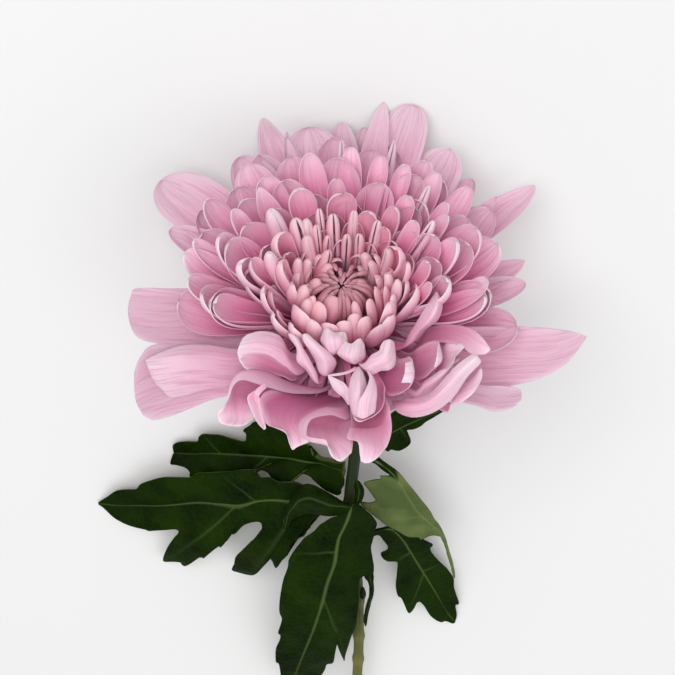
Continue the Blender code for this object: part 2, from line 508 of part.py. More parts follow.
def build_bloom():
    core = turned_solid("bloom", CORE_PROFILE, 20, CORE_TILT)
    pieces = []
    for number, floret in enumerate(spiral_florets() + outer_florets()):
        name = f"floret_{number:03d}"
        if floret["share"] < 0.16:
            pieces.append(finger_solid(name, floret, 3, 4))
        elif floret["share"] < FINGER_SHARE:
            pieces.append(finger_solid(name, floret, 3, 5))
        else:
            rows = 3 if "rule" in floret else 4
            sheet = rest_on_table(bloom_to_world(petal_sheet(floret, rows, 2)), 0.5 * BLADE)
            pieces.append(sheet_solid(name, sheet, BLADE))
    return one_body(fused(core, pieces))


def build_involucre():
    """The cup of overlapping green bracts under the bloom."""
    base = turned_solid("involucre", INVOLUCRE_PROFILE, 24)
    bracts = []
    for row, (count, root, tip, foot, top) in enumerate(BRACT_ROWS):
        for number in range(count):
            floret = floret_from(
                azimuth=360 * (number + 0.5 * row) / count, reach=tip, height=top, root_reach=root,
                root_height=foot, rise=15, turn=45, width=5.0, widest=0.5, blunt=1.8, full=1.6,
                rolls=(40, 40, 40, 40))
            sheet = bloom_to_world(petal_sheet(floret, 2, 2))
            bracts.append(sheet_solid(f"bract_{row}_{number:02d}", sheet, BRACT_BLADE))
    return one_body(fused(base, bracts))


def build_stem():
    """A ridged tube along its path, swollen at the leaf nodes, flat where it lies on the table."""
    places = np.linspace(0, 1, STEM_RINGS + 1)
    path, along = even_path(STEM_PATH, places)
    swell = sum(np.exp(-((places - node) / 0.008) ** 2) for node in STEM_NODES)
    radius = path[:, 3] + 0.45 * swell
    side = unit(np.cross(along, [0.0, 0.0, 1.0]))
    up = np.cross(side, along)
    turn = np.arange(STEM_SIDES) / STEM_SIDES * 2 * math.pi
    ridged = radius[:, None] * (1 + 0.05 * np.cos(6 * turn))[None, :]
    rings = (path[:, None, :3] + (ridged * np.cos(turn))[..., None] * side[:, None, :]
             + (ridged * np.sin(turn))[..., None] * up[:, None, :])
    rings[-1, :, 1] += 0.9 * (rings[-1, :, 2] - path[-1, 2])
    return rings_solid("stem", rest_on_table(rings, 0.0))


def seen_at(seen, heights):
    """World points at these heights over the table, seen this far right and up from SEEN_FROM."""
    steep = math.radians(SEEN_STEEP)
    up = np.array([0.0, math.sin(steep), -math.cos(steep)])
    ahead = np.array([0.0, -math.cos(steep), -math.sin(steep)])
    rays = seen[:, :1] * np.array([1.0, 0.0, 0.0]) + seen[:, 1:2] * up + SEEN_DEPTH * ahead
    eye = np.array(SEEN_FROM)
    return eye + ((heights - eye[2]) / rays[:, 2])[:, None] * rays


def blade_places(leaf):
    """Where the blade's rows leave the midrib: at the margins' points, no closer than LEAF_STEP."""
    places = [0.0]
    for place in sorted({point[0] / 100 for point in leaf["upper"] + leaf["lower"]}):
        if place - places[-1] >= LEAF_STEP and place < 1 - 0.6 * LEAF_STEP:
            places.append(place)
    return np.array(places + [1.0])


def build_leaf(name):
    """A lobed blade on its petiole; its rows are the side veins from the midrib to the margins."""
    leaf = LEAVES[name]
    places = blade_places(leaf)
    ribs = np.array(leaf["midrib"], float)
    midrib, _ = even_path(seen_at(ribs[:, :2], ribs[:, 2]), places)
    columns = []
    for across in (-1.0, -0.5, 0.0, 0.5, 1.0):
        margin = np.array(leaf["lower" if across < 0 else "upper"], float)
        seen = np.stack([np.interp(places, margin[:, 0] / 100, margin[:, i]) for i in (1, 2)], axis=1)
        vein = abs(across) * (seen_at(seen, midrib[:, 2]) - midrib)
        reach = np.linalg.norm(vein, axis=1)
        vein[:, 2] = leaf["fold"] * reach - leaf["droop"] * reach ** 2
        columns.append(midrib + vein)
    sheet = rest_on_table(np.stack(columns, axis=1), 0.55 * LEAF_BLADE)
    stalk = np.interp(places, (0, 0.06, 0.14, 1), (1.7, 1.5, 0, 0))
    blade = sheet_solid(name, sheet, LEAF_BLADE + stalk[:, None])
    if name != "leaf_front":
        return blade
    rows = np.array(CURLED_LOBE)
    lobe = seen_at(rows.reshape(-1, 3)[:, :2], rows.reshape(-1, 3)[:, 2]).reshape(rows.shape)
    return one_body(fused(blade, [sheet_solid("leaf_front_lobe", lobe, LEAF_BLADE)]))


def material(name, colour, roughness):
    made = bpy.data.materials.new(name)
    made.use_nodes = True
    shader = made.node_tree.nodes["Principled BSDF"]
    shader.inputs["Base Color"].default_value = (*colour, 1.0)
    shader.inputs["Roughness"].default_value = roughness
    return made


def finish(node, key):
    name, colour, roughness = COLOURS[key]
    node.data.materials.clear()
    node.data.materials.append(bpy.data.materials.get(name) or material(name, colour, roughness))
    node.data.shade_smooth()


def main():
    for old in list(bpy.data.objects):
        bpy.data.objects.remove(old, do_unlink=True)
    finish(build_bloom(), "bloom")
    finish(build_involucre(), "involucre")
    finish(build_stem(), "stem")
    for name in LEAVES:
        finish(build_leaf(name), "leaf")


main()
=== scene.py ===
"""Dresses a disbud chrysanthemum that lies on a table: petals, bracts, stem, leaves and studio.

Lengths are in millimetres and become metres when a mesh is made. The bloom has a frame of its own:
its foot is the origin, X runs to the picture's right, Z is the bloom's axis. Petals are boat-shaped
sheets along a Bezier midline, or smooth surfaces through seen points; leaves are lobed sheets along a
curved midrib.
"""

import math

import bpy
import numpy as np
from bpy.props import FloatProperty, FloatVectorProperty, IntProperty, PointerProperty
from bpy.types import Operator, Panel, PropertyGroup
from mathutils import Matrix, Vector


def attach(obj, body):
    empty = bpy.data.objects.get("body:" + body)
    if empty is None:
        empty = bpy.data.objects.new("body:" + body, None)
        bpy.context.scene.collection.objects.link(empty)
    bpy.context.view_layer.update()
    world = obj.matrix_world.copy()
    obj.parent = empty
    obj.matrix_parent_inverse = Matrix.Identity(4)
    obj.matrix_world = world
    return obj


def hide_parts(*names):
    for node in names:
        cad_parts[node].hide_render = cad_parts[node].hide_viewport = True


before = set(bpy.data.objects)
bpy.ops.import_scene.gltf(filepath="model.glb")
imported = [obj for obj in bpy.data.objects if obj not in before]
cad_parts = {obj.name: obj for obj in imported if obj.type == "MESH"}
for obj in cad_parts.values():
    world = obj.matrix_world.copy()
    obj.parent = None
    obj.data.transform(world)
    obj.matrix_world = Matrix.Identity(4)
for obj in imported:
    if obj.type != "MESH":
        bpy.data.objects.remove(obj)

bl_info = {
    "name": "Disbud chrysanthemum",
    "version": (1, 0, 0),
    "blender": (4, 5, 0),
    "location": "View3D > Sidebar > Flower",
    "description": "Petals, leaves and stem around the packed flower",
    "category": "Object",
}

MM = 0.001

# The bloom's foot in the world, its axis's lean from vertical towards +Y, and the whole flower's shift.
BLOOM_FOOT = (5.0, 100.0, 42.0)
AXIS_LEAN = 63.0
CENTRE_SHIFT = (1.6, -4.4, 0.0)

# The camera sees the button, which is this high on the bloom's axis, from this far and this steeply.
BUTTON_HEIGHT = 17.0
VIEW_DISTANCE = 420.0
VIEW_ELEVATION = 67.0
FOCAL_PIXELS = 1400.0
PICTURE_PIXELS = 675.0
BUTTON_PIXEL = (342.0, 283.0)
# How far from the camera the leaves' outlines are measured, mm.
LEAF_DEPTH = 506.0

# Half the table's side and the point that both lamps face, in metres.
TABLE_HALF = 3.0
LIGHTS_AIM = (0.0, 0.08, 0.03)

GOLDEN_ANGLE = 137.50776
SEED = 7
# The least height of any point over the table.
CLEARANCE = 0.01

# Rows and columns of the grid of each petal, or of the piece. The stem's columns go round it, and a
# leaf's blade has its columns on each side of the midrib.
GRIDS = {
    "button_florets": (12, 8), "quill_florets": (18, 14), "cupped_petals": (26, 20),
    "spiral_florets": (16, 12), "outer_petals": (32, 24), "ruffled_petals": (30, 20),
    "bracts": (10, 8), "stem_bark": (260, 48), "leaf_blade": (240, 16), "leaf_lobe": (60, 16),
}
# Sides of the turned pieces: the heart and the bract cup.
TURNED_SIDES = 40

# Where petal tips lie, by their reach from the axis: share of the way out among all florets, height,
# width of a petal there, and dip at the front. The back of the rim is lifted by up to REAR_LIFT.
DOME = {
    "reach": (0.6, 2.0, 4.0, 8.0, 13.0, 18.0, 24.0, 31.0, 41.0, 50.0, 57.0),
    "share": (0.00, 0.08, 0.16, 0.22, 0.32, 0.43, 0.55, 0.67, 0.79, 0.90, 1.00),
    "height": (16.0, 16.3, 16.8, 19.0, 24.0, 28.0, 30.5, 32.5, 31.0, 24.0, 14.0),
    "width": (3.6, 4.0, 5.0, 8.0, 9.5, 10.5, 12.5, 15.0, 16.5, 17.5, 18.0),
    "dip": (0.0, 0.0, 0.0, 0.0, 5.5, 11.5, 17.0, 22.0, 25.0, 20.0, 13.0),
}
REAR_LIFT = 14.0
# The reach from which a petal counts as one of the rim.
RIM_REACH = 57.0

# How many degrees a floret in the head bows outwards where it leaves and bends in where it arrives.
BOW = {
    "reach": (5, 10, 20, 30, 45, 57),
    "bow": (12, 6, 4, 4, 4, 6),
    "bend": (45, 26, 14, 14, 20, 20),
}

# A floret's usual measures. Angles are in degrees: azimuth about the axis, swing of the root to one
# side, rise and turn of the midline at its ends, twist, and the rolls and curl of its sides. k0 and k1
# are the reach of the Bezier handles, widest the place of the greatest width, claw the share of the
# width at the root, blunt and full the powers of the end's curve, hood how boat-like the end is,
# groove and wave the height of its furrows and of its ruffle, odd whether its rims wave opposite
# ways, lean its drift to one side, notch the cut in its end, zone its place from button to rim,
# blade its thickness. A floret may also have deep_colour_and_shade_run, the power that runs its dark
# root colour out, which is partly painted shade of the bloom's depth, and shade, how strong the
# painted shade in its hollows is.
USUAL_FLORET = dict(
    swing=0.0, twist=0.0, k0=0.38, k1=0.32, widest=0.62, blunt=2.2, full=2.0, claw=0.38,
    curl=(0, 0, 0, 0), hood=0.8, groove=0.05, wave=0.5, wave_count=1.2, phase=0.0, odd=False,
    lean=0.0, notch=0.0, root_reach=11.0, root_height=-0.3, zone=1.0, blade=0.45)
# Shares of the length at which the rolls and curl are given.
ROLL_PLACES = (0, 0.35, 0.7, 1)
# How far the petals' patterns lie apart, so that no two petals show the same marks.
PATTERN_STEP = 7.3

# The closed button: rings of claws as (count, tip reach, tip height, root reach, root height, width).
BUTTON_RINGS = (
    (7, 0.7, 16.2, 6.4, 9.0, 3.4),
    (10, 1.8, 16.6, 7.6, 8.5, 3.8),
    (13, 3.2, 17.0, 8.8, 8.0, 4.2),
    (15, 5.2, 17.6, 9.6, 7.5, 4.6),
)
BUTTON_CLAW = dict(rise=86, k0=0.55, k1=0.55, widest=0.66, rolls=(130, 160, 170, 170), hood=0.55,
                   wave=0.1, zone=0.0, blade=0.3)

# Forms that a floret of the head takes: how far its sides are rolled up and how its end closes.
FORMS = {
    "quill": dict(rolls=(150, 172, 176, 176), hood=0.55, claw=0.5, widest=0.72, blunt=2.6, full=2.2),
    "spoon": dict(rolls=(140, 150, 118, 84), hood=0.75, claw=0.45, widest=0.74, blunt=2.6, full=2.2),
    "blade": dict(rolls=(130, 100, 74, 58), hood=0.8, claw=0.5, widest=0.7, blunt=2.8, full=2.1),
    "cup": dict(rolls=(110, 90, 66, 52), curl=(0, 20, 60, 60), hood=0.8, claw=0.5, widest=0.66,
                blunt=2.6, full=2.2),
    "flat": dict(rolls=(80, 50, 34, 26), curl=(0, 0, 14, 14), hood=0.5, claw=0.36, widest=0.66,
                 blunt=2.4, full=2.2),
}

# Florets seen one by one in the head: form, tip right of the button and above it as seen, seen
# width, then what is special.
SEEN_FLORETS = (
    ("quill", -7.3, 23.3, 2.7), ("quill", -3.2, 22.1, 3.9), ("quill", -8.3, 18.4, 2.6),
    ("quill", -4.8, 15.1, 2.2), ("quill", 1.2, 15.8, 2.9), ("quill", 3.6, 23.0, 3.4),
    ("quill", 5.8, 15.8, 2.9), ("quill", 11.5, 19.8, 3.3), ("spoon", 8.9, 23.0, 6.0),
    ("spoon", 14.4, 17.3, 4.2), ("spoon", 16.8, 23.9, 5.2), ("spoon", 21.0, 27.2, 5.5),
    ("quill", 26.2, 30.2, 2.8), ("blade", 22.7, 19.1, 6.0), ("quill", 28.2, 19.2, 3.0),
    ("spoon", 32.2, 21.2, 4.0), ("spoon", -0.8, 29.2, 8.4, {"notch": 1.5}), ("spoon", -14.2, 29.8, 7.5),
    ("blade", -25.2, 29.7, 8.0, {"blunt": 1.6, "full": 1.4}), ("quill", -22.8, 23.3, 5.6),
    ("quill", -14.9, 20.8, 4.9), ("quill", -11.8, 20.3, 4.0), ("quill", -11.4, 15.4, 4.0),
    ("spoon", -21.5, 15.2, 7.5), ("quill", -24.4, 8.9, 4.6), ("spoon", -20.4, 6.3, 5.5),
    ("quill", -14.4, 7.7, 3.2), ("quill", -11.2, 7.8, 3.2), ("quill", -4.6, 10.9, 3.3, {"swing": -45}),
    ("quill", -3.9, 6.6, 3.3, {"swing": -45}), ("spoon", -29.2, 6.3, 5.5), ("quill", -7.9, 1.3, 3.5),
    ("quill", -12.6, -1.4, 4.0), ("blade", -25.7, -3.0, 9.0), ("blade", -14.2, -9.1, 9.0),
    ("blade", -7.2, -6.5, 6.0), ("blade", -2.3, -3.9, 5.8), ("quill", -9.6, -4.4, 2.8),
    ("quill", -11.6, -5.6, 3.4), ("blade", -20.0, -9.6, 4.5), ("quill", 0.3, -3.4, 1.8),
    ("quill", 3.9, -6.0, 2.6), ("blade", -9.5, -13.0, 6.5), ("blade", -4.0, -13.5, 6.0),
    ("blade", 1.0, -12.5, 5.5), ("blade", 12.0, -14.0, 6.5), ("blade", -16.0, -14.5, 7.0),
    ("blade", -22.0, -11.5, 8.0), ("quill", 18.3, 0.4, 3.3), ("quill", 15.3, 3.0, 3.5),
    ("blade", 8.3, -5.4, 3.6), ("blade", 4.0, -10.1, 4.6), ("blade", 7.3, -11.4, 5.0),
    ("blade", 10.4, -1.6, 3.8), ("blade", 13.6, -1.1, 3.3), ("blade", 16.1, -4.1, 4.0),
    ("blade", 17.7, 0.6, 3.4), ("blade", 14.8, 3.3, 3.8), ("quill", 9.7, 7.0, 3.2),
    ("quill", 7.5, 10.1, 3.6, {"swing": 35}), ("quill", 5.5, 1.0, 3.3, {"swing": 20}),
    ("quill", 15.3, 11.1, 3.6), ("spoon", 19.2, 10.6, 7.0), ("spoon", 21.2, 5.9, 3.4),
    ("blade", 27.4, 5.9, 6.5), ("blade", 27.8, -0.5, 5.0), ("blade", 16.1, -6.5, 9.0),
    ("cup", 15.7, -11.3, 7.0), ("flat", -16.9, 44.3, 8.0, {"blunt": 1.7, "full": 1.5}),
    ("cup", -9.8, 40.3, 10.0), ("spoon", -1.5, 32.6, 5.0), ("quill", -0.2, 43.8, 2.6),
    ("flat", -28.8, 36.3, 15.0), ("cup", -24.4, 32.8, 12.0), ("cup", -42.0, 25.3, 11.0),
    ("cup", -34.3, 22.0, 8.0), ("cup", -39.3, 13.4, 12.0), ("cup", -45.9, 12.6, 8.0),
    ("flat", -47.7, 8.2, 12.0), ("cup", -47.7, 1.1, 11.0), ("cup", -44.6, -4.6, 13.0),
    ("cup", -40.6, -6.8, 12.0), ("spoon", -33.2, 6.0, 7.0), ("flat", 6.2, 47.8, 7.0, {"blunt": 3.0}),
    ("cup", 3.6, 41.8, 8.0), ("spoon", 12.2, 39.5, 5.5),
    ("quill", 17.1, 44.0, 3.6, {"blunt": 1.7, "full": 1.5}), ("spoon", 19.9, 36.7, 5.0),
    ("cup", 25.3, 38.0, 11.0), ("cup", 29.5, 33.9, 8.0), ("spoon", 32.3, 24.8, 4.0),
    ("cup", 39.8, 28.9, 9.5), ("cup", 46.8, 26.8, 6.5, {"blunt": 1.7, "full": 1.6}),
    ("cup", 42.9, 16.0, 14.0), ("cup", 36.7, 12.0, 11.0), ("flat", 44.4, -0.5, 10.0),
    ("cup", 45.0, -4.6, 11.0), ("spoon", 34.6, -1.5, 7.0),
)

# The azimuths between which the front is left to placed petals, and the low petals under those.
FRONT = (205, 335)
# The low petals under the ruffled front carry painted shade in their hollows.
LOW_PETAL = dict(reach=39, height=0.0, width=17, rise=14, turn=-4, rolls=(80, 40, 24, 20), zone=0.8,
                 blade=0.44, wave=1.2, deep_colour_and_shade_run=2.5, shade=0.6)

# Petals round the rim: azimuth, reach, height, width, rise, turn, roll, then what is special.
OUTER_PETALS = (
    (144, 71, 17, 24, 26, 5, 32, {"blunt": 3.0, "widest": 0.72}),
    (158, 58, 15, 15, 26, 10, 45),
    (126, 56, 24, 19, 32, 20, 45, {"blunt": 3.0}),
    (112, 69, 26, 14, 42, 40, 45, {"blunt": 1.9, "full": 1.7}),
    (110, 55, 31, 11, 48, 60, 70, {"blunt": 1.7, "full": 1.6, "twist": 30}),
    (101, 57, 28, 20, 42, 30, 35, {"blunt": 3.0, "widest": 0.72}),
    (90, 60, 27, 14, 42, 35, 50),
    (78, 66, 32, 10, 42, 35, 45, {"blunt": 1.9, "full": 1.7}),
    (70, 68, 31, 16, 42, 35, 30, {"blunt": 3.0, "full": 2.6, "widest": 0.72}),
    (55, 61, 24, 19, 35, 25, 38, {"blunt": 3.0, "widest": 0.7}),
    (45, 60, 18, 14, 28, 30, 45),
    (34, 75, 16, 14.5, 25, 28, 40, {"blunt": 1.8, "full": 1.8}),
    (16, 60, 8, 13, 15, 30, 45, {"blunt": 1.8, "full": 1.8}),
    (8, 58, 6, 14, 10, 20, 45),
)

# Ruffled petals: how far each is set back, how far its dark root colour runs out (partly painted
# shade of the bloom's depth), its zone, and its points row by row from root to tip, as (right of the
# button, above it, towards the camera) as seen.
RUFFLED_PETALS = {
    "left_blunt": (0, 1.0, 1.2, (
        ((-28, -4, -2), (-28, -9, -3), (-28, -15, -3), (-28, -21, -2)),
        ((-42, -1.8, -1), (-42, -7, -2.5), (-42, -13, -2.5), (-42, -20, -1)),
        ((-52, -1.6, -0.5), (-52, -6.6, -2), (-52, -13.5, -2), (-54, -18.4, 0)),
        ((-59, -1.4, -0.5), (-59.5, -6.6, -1.5), (-59, -13, -1.5), (-59.4, -17.2, 0)),
        ((-62.4, -1.8, -1), (-63.6, -6.6, -1), (-63.2, -12, -1), (-61.8, -15.8, -0.5)),
        ((-63.2, -3.2, -1.2), (-64.1, -7.4, -1), (-63.9, -10.6, -1), (-62.9, -14, -0.8)))),
    "right_pointed": (0, 0.8, 1.1, (
        ((30, -30, -2), (30, -24, -3), (30, -18, -3), (30, -13, -2)),
        ((42, -31.4, -1), (42, -25, -2.5), (43, -18.6, -2.5), (44, -13, -1)),
        ((51.9, -30.6, 0), (52.4, -24.6, -1.4), (53, -18.4, -1.4), (53.6, -13, 0)),
        ((61, -28, 1), (61.8, -23.4, 0), (62.4, -18.4, 0), (62.8, -13.6, 0.4)),
        ((68, -23.6, 1.6), (68.4, -20.8, 1.2), (68.8, -17.8, 1), (69.2, -14.6, 0.8)),
        ((72.8, -17.4, 1.4), (73, -17, 1.4), (73.2, -16.5, 1.4), (73.4, -16, 1.4)))),
    "right_low": (0, 1.0, 1.15, (
        ((30, -33, 2), (30, -30, 1), (30, -27, 2)),
        ((41, -37.2, 3), (41.4, -34, 2), (42, -30.6, 3)),
        ((46, -38.8, 3.4), (46.6, -35, 2.4), (47.4, -30.8, 3)),
        ((51, -37.6, 3.4), (51.4, -34.4, 2.8), (52, -31.4, 3)),
        ((53.6, -35.4, 3.2), (53.9, -33.8, 3), (53.6, -32, 3.1)))),
    "left_under": (0, 1.4, 1.15, (
        ((-28, -20, 0), (-28, -24, -1), (-29, -28, 0), (-30, -31.6, 1)),
        ((-40, -18.6, 0), (-40, -24, -1), (-40, -30, 0), (-40, -35.4, 2)),
        ((-50, -18.2, 0), (-50, -25, 0), (-49, -33, 1), (-47.6, -38.6, 3)),
        ((-57.4, -18.8, 0.5), (-57, -26, 0.5), (-55, -35, 2), (-52.4, -40.4, 4)),
        ((-61, -23, 1), (-61.4, -29, 2), (-59.6, -36, 3), (-56.6, -41.3, 4.5)),
        ((-62.4, -27, 1.5), (-62.3, -31.6, 2.4), (-61.7, -36, 3.4), (-59.6, -40, 4.4)))),
    "left_over": (0, 0.9, 1.0, (
        ((-28, -19.6, 3), (-28, -23, 5), (-29, -27, 3), (-31, -31, -2)),
        ((-40, -18.4, 3), (-40, -22.6, 6), (-40, -28.4, 4), (-40, -34, -2)),
        ((-48, -18.8, 4), (-48.6, -22.6, 7), (-48.4, -29, 5), (-47, -36, -0.5)),
        ((-54.4, -21, 5), (-54.8, -24, 7), (-54.2, -29.4, 5.8), (-51.8, -34.4, 1.6)),
        ((-58.4, -23, 5.6), (-57.8, -25, 6.6), (-56.4, -28.6, 6), (-54.4, -31.8, 3.6)),
        ((-58.9, -23.6, 5.6), (-58.4, -25.2, 6.2), (-57.2, -28.2, 5.8), (-55.4, -31, 4.2)))),
    "tongue": (1, 1.6, 0.8, (
        ((-12, -27.6, 10), (-12.5, -26.8, 10.5), (-13.5, -25, 11), (-14.5, -21.5, 9)),
        ((-17, -25.6, 15), (-18, -24, 16), (-19, -20, 16.5), (-18.5, -16.5, 13)),
        ((-22.4, -22.4, 18), (-23.4, -21.4, 20), (-24.6, -18.6, 21), (-23.5, -15, 16)),
        ((-28.4, -22.4, 22), (-29.6, -21.6, 24), (-30, -19.6, 25), (-28, -16, 20)),
        ((-30.6, -24, 23), (-31.4, -22.4, 24.5), (-31.2, -20.5, 25.5), (-30, -17.5, 22)))),
    "tongue_hollow": (1, 3.4, 0.8, (
        ((-12, -27.4, 10), (-12.4, -28, 9), (-13, -29, 10)),
        ((-17, -25.4, 14), (-17.6, -27, 13), (-18, -28.6, 14.5)),
        ((-22, -22.4, 17), (-22.4, -25, 15), (-22.5, -27.8, 17.5)),
        ((-26, -21.4, 20), (-26.4, -24, 18), (-26.8, -27.4, 20)),
        ((-30.4, -21.4, 22), (-31, -23.6, 22), (-29.4, -26.4, 22.4)))),
    "long_fold": (1, 2.8, 0.8, (
        ((-3.4, -31.6, 9), (-3.8, -30.9, 9), (-3.4, -31.8, 7), (-3.6, -32.4, 7), (-3.8, -33, 7)),
        ((-13.4, -33.8, 14), (-14, -30.8, 13), (-13.4, -34.4, 9), (-13.7, -35.6, 8.4), (-14, -36.6, 8)),
        ((-22.5, -32, 19), (-22.5, -27.3, 18), (-22.5, -32.2, 12), (-22.8, -34.2, 11), (-23, -36, 11)),
        ((-29.7, -30, 22), (-29, -27, 21), (-31, -31.6, 15), (-29.6, -34.6, 13.4), (-27.6, -36.6, 15.4)),
        ((-32.6, -31.6, 22), (-33, -30, 21), (-33.6, -35, 17), (-31, -38, 14.6), (-26.8, -39.2, 18)),
        ((-33.8, -35, 20), (-35, -37.2, 19.4), (-34.4, -40, 16.6), (-30, -41.4, 16), (-26.6, -41, 19)),
        ((-35, -37.4, 19.4), (-37.4, -39.8, 19), (-36.4, -42.8, 18.4), (-30.6, -43.7, 18),
         (-27, -41.8, 19.4)))),
    "curled_strip": (1, 1.2, 0.8, (
        ((-24.6, -32, 20), (-24, -31.5, 20), (-22.8, -32.2, 19)),
        ((-28.3, -34.8, 22), (-26.5, -34.4, 19), (-24.6, -36, 20)),
        ((-27.6, -38.4, 22.5), (-25.4, -38, 19.5), (-24, -39.5, 20)),
        ((-25.4, -42.8, 22), (-24, -42.4, 20), (-23, -43.5, 21)),
        ((-23.8, -44.6, 22), (-23.4, -44.8, 21.5), (-22.9, -44.5, 21.5)))),
    "deep_hollow": (1, 3.2, 0.8, (
        ((-5, -31.8, 6), (-2, -31.8, 5), (1, -32.2, 6), (3, -33.5, 8)),
        ((-16, -32.4, 13), (-9, -33.2, 9), (-3, -34.4, 9), (2.6, -37, 13.5)),
        ((-22, -33, 19), (-15, -34.8, 13.5), (-8.5, -36.2, 12), (-2.6, -38.4, 16.5)),
        ((-24.6, -35.4, 20.5), (-20, -37.6, 16.5), (-13.4, -38.6, 15), (-6.6, -39.4, 18.5)),
        ((-23.9, -39.6, 21), (-20, -41.2, 18.5), (-15.6, -42.2, 17.5), (-9.6, -41.8, 20)),
        ((-22.4, -43.4, 21.5), (-18.6, -44, 19.5), (-14.6, -44.4, 19), (-11, -44, 21)),
        ((-17.4, -45.1, 22), (-16, -46.6, 20.5), (-13.6, -47, 20.5), (-10.6, -46.4, 22)),
        ((-15.9, -49, 22), (-14.9, -50.9, 22), (-13.4, -50, 22), (-10, -48.6, 22)))),
    "rolled_rim": (0, 2.4, 0.8, (
        ((2.6, -40, 14), (1.9, -36.2, 15), (3, -38, 12), (3.7, -40.2, 13)),
        ((-3.6, -40.4, 20), (-6, -38.4, 20), (-3, -41.3, 15), (3.6, -41.3, 14)),
        ((-9.4, -42, 24), (-12, -41.8, 23), (-5.4, -43.5, 17), (3.4, -43.9, 16)),
        ((-10.6, -46.6, 26), (-13, -45.4, 25), (-4.4, -46.2, 20), (3.4, -46.2, 19)),
        ((-8.4, -47.6, 27), (-9.6, -48.6, 26), (-3, -48.6, 22), (3.2, -48.6, 23)),
        ((-5, -48.2, 27), (-4.9, -49.4, 26.6), (-1.6, -51.4, 24), (3, -50.6, 25.4)),
        ((-4.3, -50.2, 27), (-3.3, -53, 27), (-0.4, -54.6, 27), (2.8, -52, 27)))),
    "drooping": (0, 2.2, 0.8, (
        ((2.6, -41.2, 18), (5.6, -41.7, 16), (10.3, -40.2, 14), (13, -35, 15)),
        ((2.4, -44.2, 23), (6, -44.6, 21), (11, -44, 18), (14.6, -41, 18)),
        ((1.4, -47.6, 27), (5.2, -47.2, 25), (11, -48.2, 22), (14.8, -45.3, 21)),
        ((4.6, -48.8, 27), (7, -50, 26), (10.6, -51.2, 25), (13.6, -49.6, 24)),
        ((5.2, -52.4, 27), (7, -53.4, 27), (9.4, -53.4, 26.6), (12, -51.8, 26)),
        ((5.6, -54.6, 27), (7, -55.2, 27), (8.8, -54.8, 27), (10.6, -53.6, 27)))),
    "bud_left": (4, 1.0, 0.8, (
        ((3.7, -39.5, 24), (3.4, -39.7, 26), (4.8, -40.2, 27), (7, -39.5, 25)),
        ((3, -36.2, 24), (2.2, -36, 27), (4.8, -36, 30), (7.7, -36, 27)),
        ((3, -32.2, 22), (2.3, -31.5, 25), (4.8, -31.5, 28.5), (7.4, -31.5, 26)),
        ((3.7, -28.6, 18), (3.2, -28.2, 21), (4.8, -28.2, 24), (6.6, -28.2, 22)),
        ((4.8, -26, 15), (4.6, -25.7, 17), (5.2, -25.6, 18), (5.9, -26, 17)))),
    "bud_right": (4, 1.0, 0.8, (
        ((3.7, -40, 28), (6, -40.6, 28), (8.4, -38.8, 26), (8.8, -38, 22)),
        ((4.8, -36.6, 31), (7, -36.6, 31), (9.9, -36.2, 28), (9.9, -36, 23)),
        ((7, -33, 30.5), (8.1, -32.6, 30), (10.1, -32.6, 27), (9.9, -32.2, 22)),
        ((8.1, -29.3, 26), (8.8, -29.3, 26), (9.3, -29.3, 24), (8.8, -29.3, 20)),
        ((7, -26.4, 20), (7.2, -26.3, 20), (7.5, -26.6, 19), (7, -26.8, 17)))),
    "bud_cup": (0, 2.0, 0.8, (
        ((8, -28.6, 12), (9.5, -28.6, 11), (11, -29, 12), (12.1, -30, 14)),
        ((7.7, -33, 14), (9.9, -33, 13), (11.7, -33, 14), (12.7, -33.7, 17)),
        ((7, -37.3, 17), (9.5, -37.7, 16), (11.4, -37.7, 17), (12.5, -37, 20)),
        ((5.2, -41, 21), (7.4, -41.3, 20), (9.5, -40.6, 21), (11, -39.7, 23)),
        ((3.2, -41, 24), (4.1, -42.2, 24), (5.5, -42.6, 24), (7.7, -41.7, 24)))),
    "flap": (3, 1.0, 0.8, (
        ((2.3, -36.4, 22), (2.4, -34, 22), (2.6, -31.6, 21)),
        ((0, -34.9, 21.5), (0.2, -32.6, 22), (0.4, -30.5, 21)),
        ((-2.6, -32.6, 20.5), (-2.2, -30.8, 21), (-1.8, -29.4, 20.5)),
        ((-4, -29.8, 19.5), (-4.2, -29, 19.8), (-4.3, -28.2, 19.6)))),
    "ribbon": (3, 1.0, 0.8, (
        ((5.7, -26.2, 16), (5.5, -25.3, 15)),
        ((4.1, -26.7, 17), (3.7, -25.8, 16)),
        ((1.7, -27.8, 18), (1.5, -27, 17)),
        ((-1.6, -28.5, 19), (-1.7, -27.7, 18)),
        ((-4.3, -28.7, 19.5), (-4.4, -28.2, 19)))),
    "twisted_scale": (3, 1.0, 0.8, (
        ((-7.2, -30, 12), (-6.5, -30.2, 12.5), (-6, -30.4, 12)),
        ((-11, -26.4, 15), (-9.4, -27, 16), (-7.7, -27.3, 15)),
        ((-13.6, -24, 17), (-12, -23.5, 18.5), (-10, -23, 17)),
        ((-13.7, -20.2, 17), (-12.8, -20, 18), (-11.6, -20.2, 16)),
        ((-15.6, -17.3, 15), (-14.5, -16.6, 16), (-13, -17.3, 15)),
        ((-16.2, -15.7, 14), (-15.8, -15.5, 14), (-14.8, -15.7, 14)))),
    "broad_scale": (3, 1.0, 0.8, (
        ((-6.1, -27.5, 13), (-4.6, -28, 14), (-3.2, -27, 13)),
        ((-8.3, -23.5, 15), (-5, -24.6, 18), (-1.7, -24.6, 15)),
        ((-10, -20.6, 16), (-6.8, -21.3, 19), (-3.2, -22, 16)),
        ((-11.6, -18, 16), (-9.4, -18, 17.5), (-7.2, -18.6, 16)),
        ((-12, -16.2, 15), (-11.4, -15.7, 15.5), (-10.3, -15.7, 15)))),
    "notched_scale": (3, 1.0, 0.8, (
        ((-4.3, -22, 12), (-2.8, -22, 13), (-1.4, -21.3, 13), (-0.3, -21, 12)),
